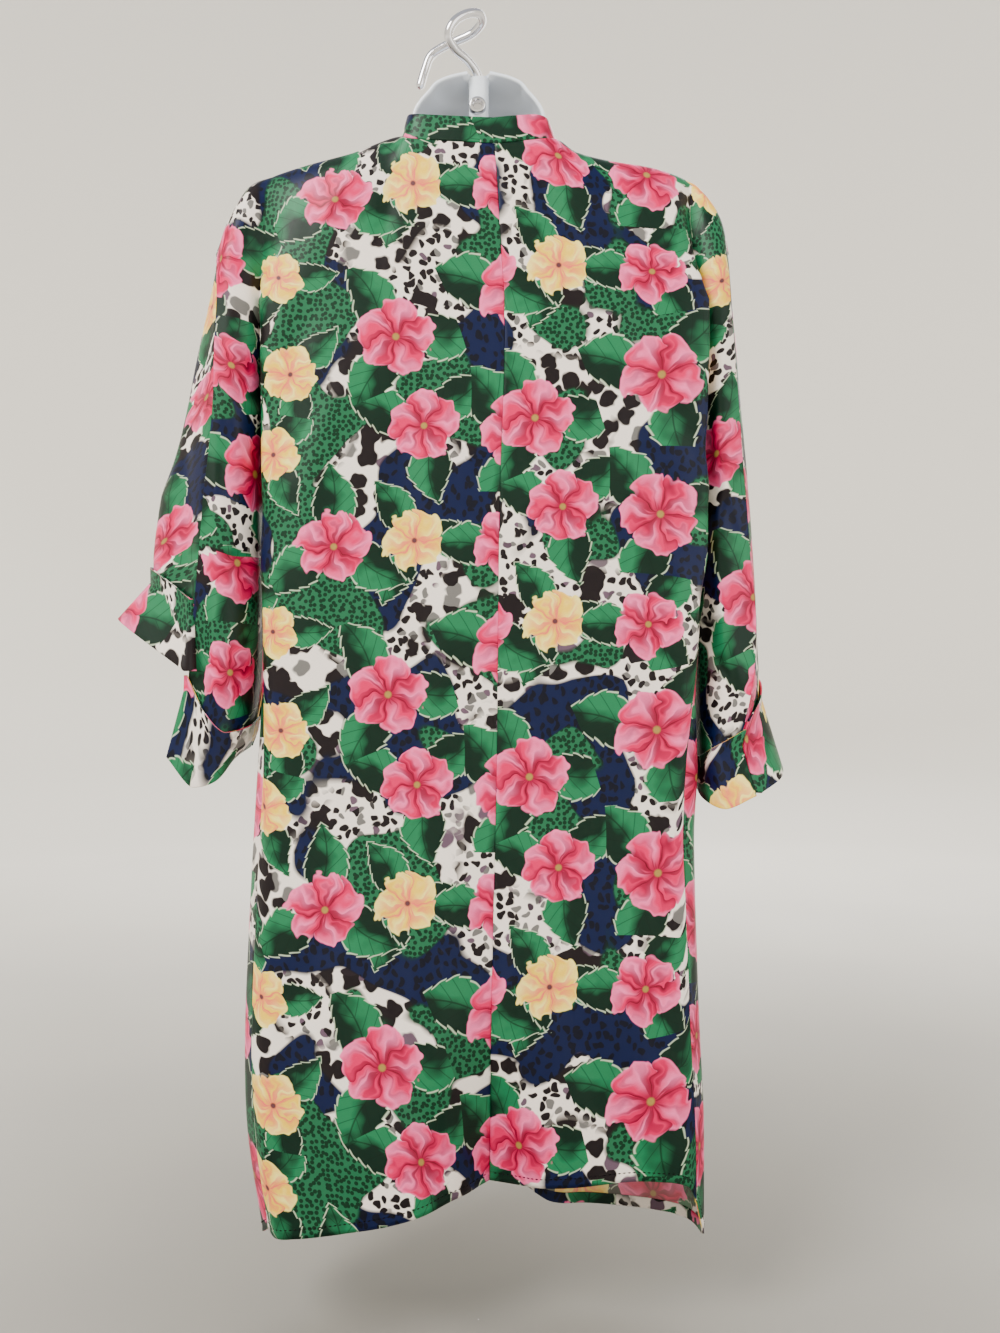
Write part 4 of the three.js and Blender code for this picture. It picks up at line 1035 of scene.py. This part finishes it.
def draw_leaf(g, given, radius, turn, wobble):
    """Three pointed leaves that stand out from under the flower, veined and pale rimmed."""
    sector = g.math("FRACT", g.times(turn, 3))
    angle = g.fma(sector, 2 * math.pi / 3, -math.pi / 3)
    along = g.fma(g.times(radius, g.math("COSINE", angle)), 1 / 0.95, -1.35 / 0.95)
    across = g.times(g.times(radius, g.math("SINE", angle)), 1 / 0.95)
    square = g.times(along, along)
    bent = g.fma(square, 0.22, across)
    off = g.math("ABSOLUTE", bent)
    wide = g.math("MAXIMUM", g.fma(along, -0.28, 0.60), 0.25)
    tooth = g.times(g.math("FRACT", g.times(along, -3.5)), 0.07)
    half = g.fma(g.fma(square, -1.0, 1.0), wide, tooth)
    half = g.fma(wobble, 0.2, g.minus(half, 0.12))
    inset = g.minus(half, off)
    rib = g.math("FRACT", g.fma(along, 2.4, g.times(off, -2.6)))
    vein = g.line(g.math("ABSOLUTE", g.minus(rib, 0.5)), 14, -6.1)
    vein = g.math("MAXIMUM", vein, g.line(off, -40, 1.3))
    shade = g.line(g.fma(wobble, 0.8, bent), 2.1, -0.42)
    made = g.mix(shade, given["Dark"], given["Bright"])
    made = g.mix(g.times(vein, 0.7), made, given["Rib"])
    made = g.mix(g.line(inset, -26, 1.25), made, given["Rim"])
    return made, g.line(inset, 26, 0.5)


CREAM = colour(0.96, 0.92, 0.88)
BROWN = colour(0.08, 0.05, 0.06)
GREY = colour(0.42, 0.41, 0.40)
MAUVE = colour(0.37, 0.29, 0.35)
NAVY = colour(0.02, 0.07, 0.22)
NAVY_SPOT = colour(0.01, 0.02, 0.08)
GREEN = colour(0.11, 0.38, 0.25)
GREEN_SPOT = colour(0.01, 0.16, 0.09)
LEAVES = {"Dark": colour(0.0, 0.12, 0.07), "Bright": colour(0.11, 0.44, 0.28), "Rib": colour(0.0, 0.08, 0.04),
          "Rim": colour(0.80, 0.86, 0.74)}
PINK = {"Petal": colour(0.86, 0.05, 0.34), "Light": colour(0.99, 0.45, 0.66), "Vein": colour(0.34, 0.0, 0.07),
        "Heart": colour(0.62, 0.50, 0.25)}
YELLOW = {"Petal": colour(0.96, 0.78, 0.22), "Light": colour(1.0, 0.92, 0.52),
          "Vein": colour(0.93, 0.25, 0.38), "Heart": colour(0.35, 0.20, 0.22)}

# Print: one repeat of the cloth in metres, each column of repeats set half a repeat lower
REPEAT = (0.30, 0.33)
# Each flower: across, down, size, turn in degrees
YELLOW_MOTIFS = [
    (0.128, 0.040, 0.027, 10), (0.262, 0.120, 0.029, 100), (0.142, 0.296, 0.027, 220),
    (0.132, 0.205, 0.025, 300),
]
PINK_MOTIFS = [
    (0.056, 0.056, 0.040, 15), (0.188, 0.126, 0.034, 130), (0.058, 0.186, 0.038, 250),
    (0.240, 0.262, 0.036, 60), (0.048, 0.288, 0.032, 160), (0.268, 0.014, 0.033, 340),
]


def nearest(g, s, t, motifs):
    """Place in the nearest of some motifs, -1 to 1 on each axis, and the number of that motif."""
    width, height = REPEAT
    best = None
    for number, (across, down, size, turn) in enumerate(motifs):
        ds = g.math("WRAP", g.minus(s, across / width), 0.5, -0.5)
        middle = down / height - 0.5 * across / width
        dt = g.math("WRAP", g.minus(t, middle), 0.5, -0.5)
        c, d = math.cos(math.radians(turn)) / size, math.sin(math.radians(turn)) / size
        x = g.fma(ds, width * c + 0.5 * height * d, g.times(dt, height * d))
        y = g.fma(ds, 0.5 * height * c - width * d, g.times(dt, height * c))
        far = g.fma(x, x, g.times(y, y))
        found = (x, y, float(number))
        if best:
            nearer = g.math("LESS_THAN", far, best_far)
            far = g.math("MINIMUM", far, best_far)
            found = [g.fma(nearer, g.minus(new, old), old)
                     for new, old in zip(found, best)]
        best, best_far = found, far
    return best


def patches(g, place, offset, scale, level):
    """Organic patches where a noise rises above a level: their inside, and how deep in they are."""
    moved = g.vector("ADD", place, offset)
    rise = g.minus(g.noise(moved, scale, 1.0).outputs[0], level)
    return g.line(rise, 60, 0.5), rise


def print_group():
    """The whole print, from a place on the flat cloth in metres to a colour."""
    g, given, result = new_group("print", [("Cloth", "vector")], [("Colour", "colour")])
    cloth = given["Cloth"]
    width, height = REPEAT
    across, down = g.separate(cloth)
    s = g.times(across, 1 / width)
    t = g.fma(down, 1 / height, g.times(s, -0.5))
    shifted = g.stray(cloth, g.noise(cloth, 115.0, 0.0), 0.006)
    zone = g.noise(cloth, 10.0, 0.0).outputs[0]

    # Animal spots: small and close in some places, large and loose in others
    made = CREAM
    for scale, size, gain, lift in ((112.0, 5.6, 16, -7.3), (50.0, 6.1, -16, 8.8)):
        cell = g.cells(shifted, scale)
        chance, other = g.two_parts(cell.outputs["Color"])
        tint = g.mix(g.line(chance, -40, 9), g.mix(g.line(other, 40, -33), BROWN, MAUVE), GREY)
        spot = g.times(g.line(cell.outputs["Distance"], -14, size), g.line(zone, gain, lift))
        made = g.mix(spot, made, tint)
    dark, _ = patches(g, shifted, (3.1, 0.4, 0), 21.0, 0.66)
    made = g.mix(dark, made, BROWN)

    # Navy and green patches filled with darker spots
    fine = g.cells(cloth, 215.0, 0.8).outputs["Distance"]
    coarse = g.cells(g.vector("MULTIPLY", shifted, (1, 0.72, 1)), 125.0, 0.85).outputs["Distance"]
    for offset, level, scale, spots, size, ground, spot in (
            ((0.0, 7.7, 0), 0.525, 9.0, coarse, 5.4, NAVY, NAVY_SPOT),
            ((5.2, 1.3, 0), 0.555, 10.0, fine, 6.4, GREEN, GREEN_SPOT)):
        inside, rise = patches(g, cloth, offset, scale, level)
        shade = g.mix(g.line(spots, -15, size), ground, spot)
        shade = g.mix(g.line(rise, -80, 0.9), shade, spot)
        made = g.mix(inside, made, shade)

    # Flowers and their leaves, the leaves of all below the flowers of all
    tree = flower_group()
    flowers = []
    for motifs, looks in ((YELLOW_MOTIFS, YELLOW), (PINK_MOTIFS, PINK)):
        place = nearest(g, s, t, motifs)
        piece = g.node("ShaderNodeGroup", node_tree=tree)
        for socket, value in zip(("X", "Y", "Seed"), place):
            g.feed(piece.inputs[socket], value)
        for socket, value in {**looks, **LEAVES}.items():
            piece.inputs[socket].default_value = value
        made = g.mix(piece.outputs["Leaf mask"], made, piece.outputs["Leaf"])
        flowers.append(piece)
    for piece in flowers:
        made = g.mix(piece.outputs["Mask"], made, piece.outputs["Colour"])
    g.feed(result["Colour"], made)
    return g.tree


def new_material(name, base, roughness, metallic=0.0):
    material = bpy.data.materials.new(name)
    material.use_nodes = True
    graph = Graph(material.node_tree)
    shader = material.node_tree.nodes["Principled BSDF"]
    shader.inputs["Base Color"].default_value = base
    shader.inputs["Roughness"].default_value = roughness
    shader.inputs["Metallic"].default_value = metallic
    return material, graph, shader


def satin(name, tree, pale):
    """Printed satin with a fine weave; pale is how far its wrong side fades to the ground."""
    material, g, shader = new_material(name, CREAM, 0.4)
    shader.inputs["Specular IOR Level"].default_value = 0.16
    uv = g.node("ShaderNodeUVMap", uv_map="cloth")
    piece = g.node("ShaderNodeGroup", node_tree=tree)
    g.feed(piece.inputs["Cloth"], uv.outputs[0])
    made = piece.outputs["Colour"]
    if pale:
        made = g.mix(pale, made, CREAM)
    slub = g.noise(g.vector("MULTIPLY", uv.outputs[0], (420.0, 1500.0, 0)), 1.0, 1.0).outputs[0]
    made = g.mix(g.times(slub, 0.14), made, colour(0.08, 0.07, 0.08))
    g.feed(shader.inputs["Base Color"], made)
    g.feed(shader.inputs["Roughness"], g.fma(slub, 0.14, 0.34))
    g.bump(shader, slub, 0.25, 0.0002)
    return material


def thread():
    material, g, shader = new_material("thread", colour(0.03, 0.02, 0.03), 0.6)
    shader.inputs["Specular IOR Level"].default_value = 0.1
    g.feed(shader.inputs["Roughness"], g.fma(g.solid_noise(2500.0), 0.3, 0.5))
    return material


def plastic():
    material, g, shader = new_material("form_plastic", colour(0.86, 0.90, 0.96), 0.22)
    ripple = g.solid_noise(16.0)
    tone = g.mix(g.times(ripple, 0.25), colour(0.92, 0.95, 0.99), colour(0.84, 0.89, 0.97))
    g.feed(shader.inputs["Base Color"], tone)
    g.feed(shader.inputs["Roughness"], g.fma(ripple, 0.14, 0.16))
    shader.inputs["Coat Weight"].default_value = 0.3
    g.bump(shader, ripple, 0.12, 0.002)
    return material


def chrome(name):
    material, g, shader = new_material(name, colour(0.80, 0.80, 0.82), 0.12, 1.0)
    smear = g.solid_noise(90.0, 4.0)
    g.feed(shader.inputs["Roughness"], g.fma(smear, 0.16, 0.06))
    tone = g.mix(g.times(smear, 0.4), colour(0.86, 0.86, 0.88), colour(0.62, 0.61, 0.60))
    g.feed(shader.inputs["Base Color"], tone)
    return material


# Camera, floor and lights

# Radius and height of the floor's rings, in metres
FLOOR = [
    (0.0005, 0), (1.0, 0), (2.2, 0), (2.9, 0.05), (3.4, 0.25), (3.7, 0.6),
    (3.85, 1.1), (3.9, 2.0), (3.9, 4.2),
]
FLOOR_Z = -1.21
FLOOR_SIDES = 96


def make_camera():
    data = bpy.data.cameras.new("camera")
    data.sensor_fit = "VERTICAL"
    data.sensor_height = CAMERA["sensor"]
    data.sensor_width = CAMERA["sensor"]
    data.lens = CAMERA["lens"]
    data.clip_start = 0.01
    made = bpy.data.objects.new("camera", data)
    made.location = CAMERA["place"]
    made.rotation_euler = (math.radians(90), 0, math.radians(180))
    bpy.context.scene.collection.objects.link(made)
    bpy.context.scene.camera = made


def make_floor():
    """A wide pale bowl: flat under the robe and rising into a wall far round it, with painted shade darkening
    its middle.
    """
    turn = 2 * math.pi * np.arange(FLOOR_SIDES) / FLOOR_SIDES
    points = [(r * math.cos(a), r * math.sin(a), FLOOR_Z + h) for r, h in FLOOR for a in turn]
    ids = np.arange(len(points)).reshape(len(FLOOR), FLOOR_SIDES)
    made = make_mesh("floor", np.array(points) / MM, grid_quads(closed(ids), -1).tolist())
    material, g, shader = new_material("floor_paper", colour(0.93, 0.92, 0.89), 0.85)
    # Painted shade: the floor is dark grey in the middle, under the robe, and fades to pale outwards over
    # about three metres, its edge made uneven by a noise.
    x, y = g.separate(g.node("ShaderNodeTexCoord").outputs["Object"])
    far = g.math("SQRT", g.fma(x, x, g.times(y, y)))
    shade_wobble = g.noise(g.combine(x, y), 1.2, 2.0).outputs[0]
    outwards = g.line(g.fma(shade_wobble, 0.5, far), 0.34, 0.0)
    g.feed(shader.inputs["Base Color"], g.mix(outwards, colour(0.39, 0.38, 0.35), colour(0.98, 0.965, 0.93)))
    made.data.materials.append(material)


def add_light(name, place, target, size, power, tint=(1, 1, 1)):
    data = bpy.data.lights.new(name, "AREA")
    data.shape = "DISK"
    data.size = size
    data.energy = power
    data.color = tint
    made = bpy.data.objects.new(name, data)
    made.location = place
    made.rotation_euler = (Vector(target) - Vector(place)).to_track_quat("-Z", "Y").to_euler()
    bpy.context.scene.collection.objects.link(made)


def make_lights():
    world = bpy.data.worlds.new("world")
    world.use_nodes = True
    bpy.context.scene.world = world
    background = world.node_tree.nodes["Background"]
    background.inputs[0].default_value = (0.96, 0.97, 1.0, 1)
    background.inputs[1].default_value = 0.78
    add_light("key", (1.6, 1.8, 1.5), (0, 0, -0.5), 1.5, 130, (1.0, 0.97, 0.93))
    add_light("fill", (-2.0, 1.8, 0.2), (0, 0, -0.6), 2.0, 26)
    add_light("front", (-0.6, -2.4, 0.9), (0, 0, -0.5), 2.0, 62)


# Build

make_camera()
make_floor()
make_lights()

PRINT = print_group()
OUTSIDE = satin("print_satin", PRINT, 0)
WRONG_SIDE = satin("print_satin_wrong_side", PRINT, 0.15)
THREAD = thread()
PLASTIC = plastic()

# Offset of the print on each piece, in millimetres, as the cloth was laid when it was cut
PANEL_OFFSETS = {
    "back_left": (40, 60), "back_right": (210, 150), "front_left": (120, 200), "front_right": (10, 90),
}
CUFF_OFFSETS = {
    "left_back": (130, 30), "left_front": (250, 170), "right_back": (70, 240), "right_front": (180, 110),
}
BAND_OFFSETS = {"left": (60, 20), "right": (185, 95)}
NECK_OFFSET = (20, 130)
for side in SIDES:
    for half in ("back", "front"):
        panel = Panel(side, half)
        offset = PANEL_OFFSETS[panel.node]
        cloth = panel_object(panel, offset, (OUTSIDE, WRONG_SIDE))
        if panel.key == "left_back":
            jump_print(cloth)
        make_stitches(panel, THREAD)
        make_turn_up(panel, offset, OUTSIDE)
        make_cuff(side, half, CUFF_OFFSETS[panel.key], OUTSIDE)
    band = front_band_grid(side)
    make_band("band_front_" + side, "front_band_" + side, band, -SIDES[side], BAND_OFFSETS[side],
              OUTSIDE)
band = neck_band_grid()
make_band("band_neck", "neck_band", band, -1, NECK_OFFSET,
          OUTSIDE)
make_form(PLASTIC)
make_nut(chrome("nut_chrome"))
make_hook(chrome("hook_chrome"))
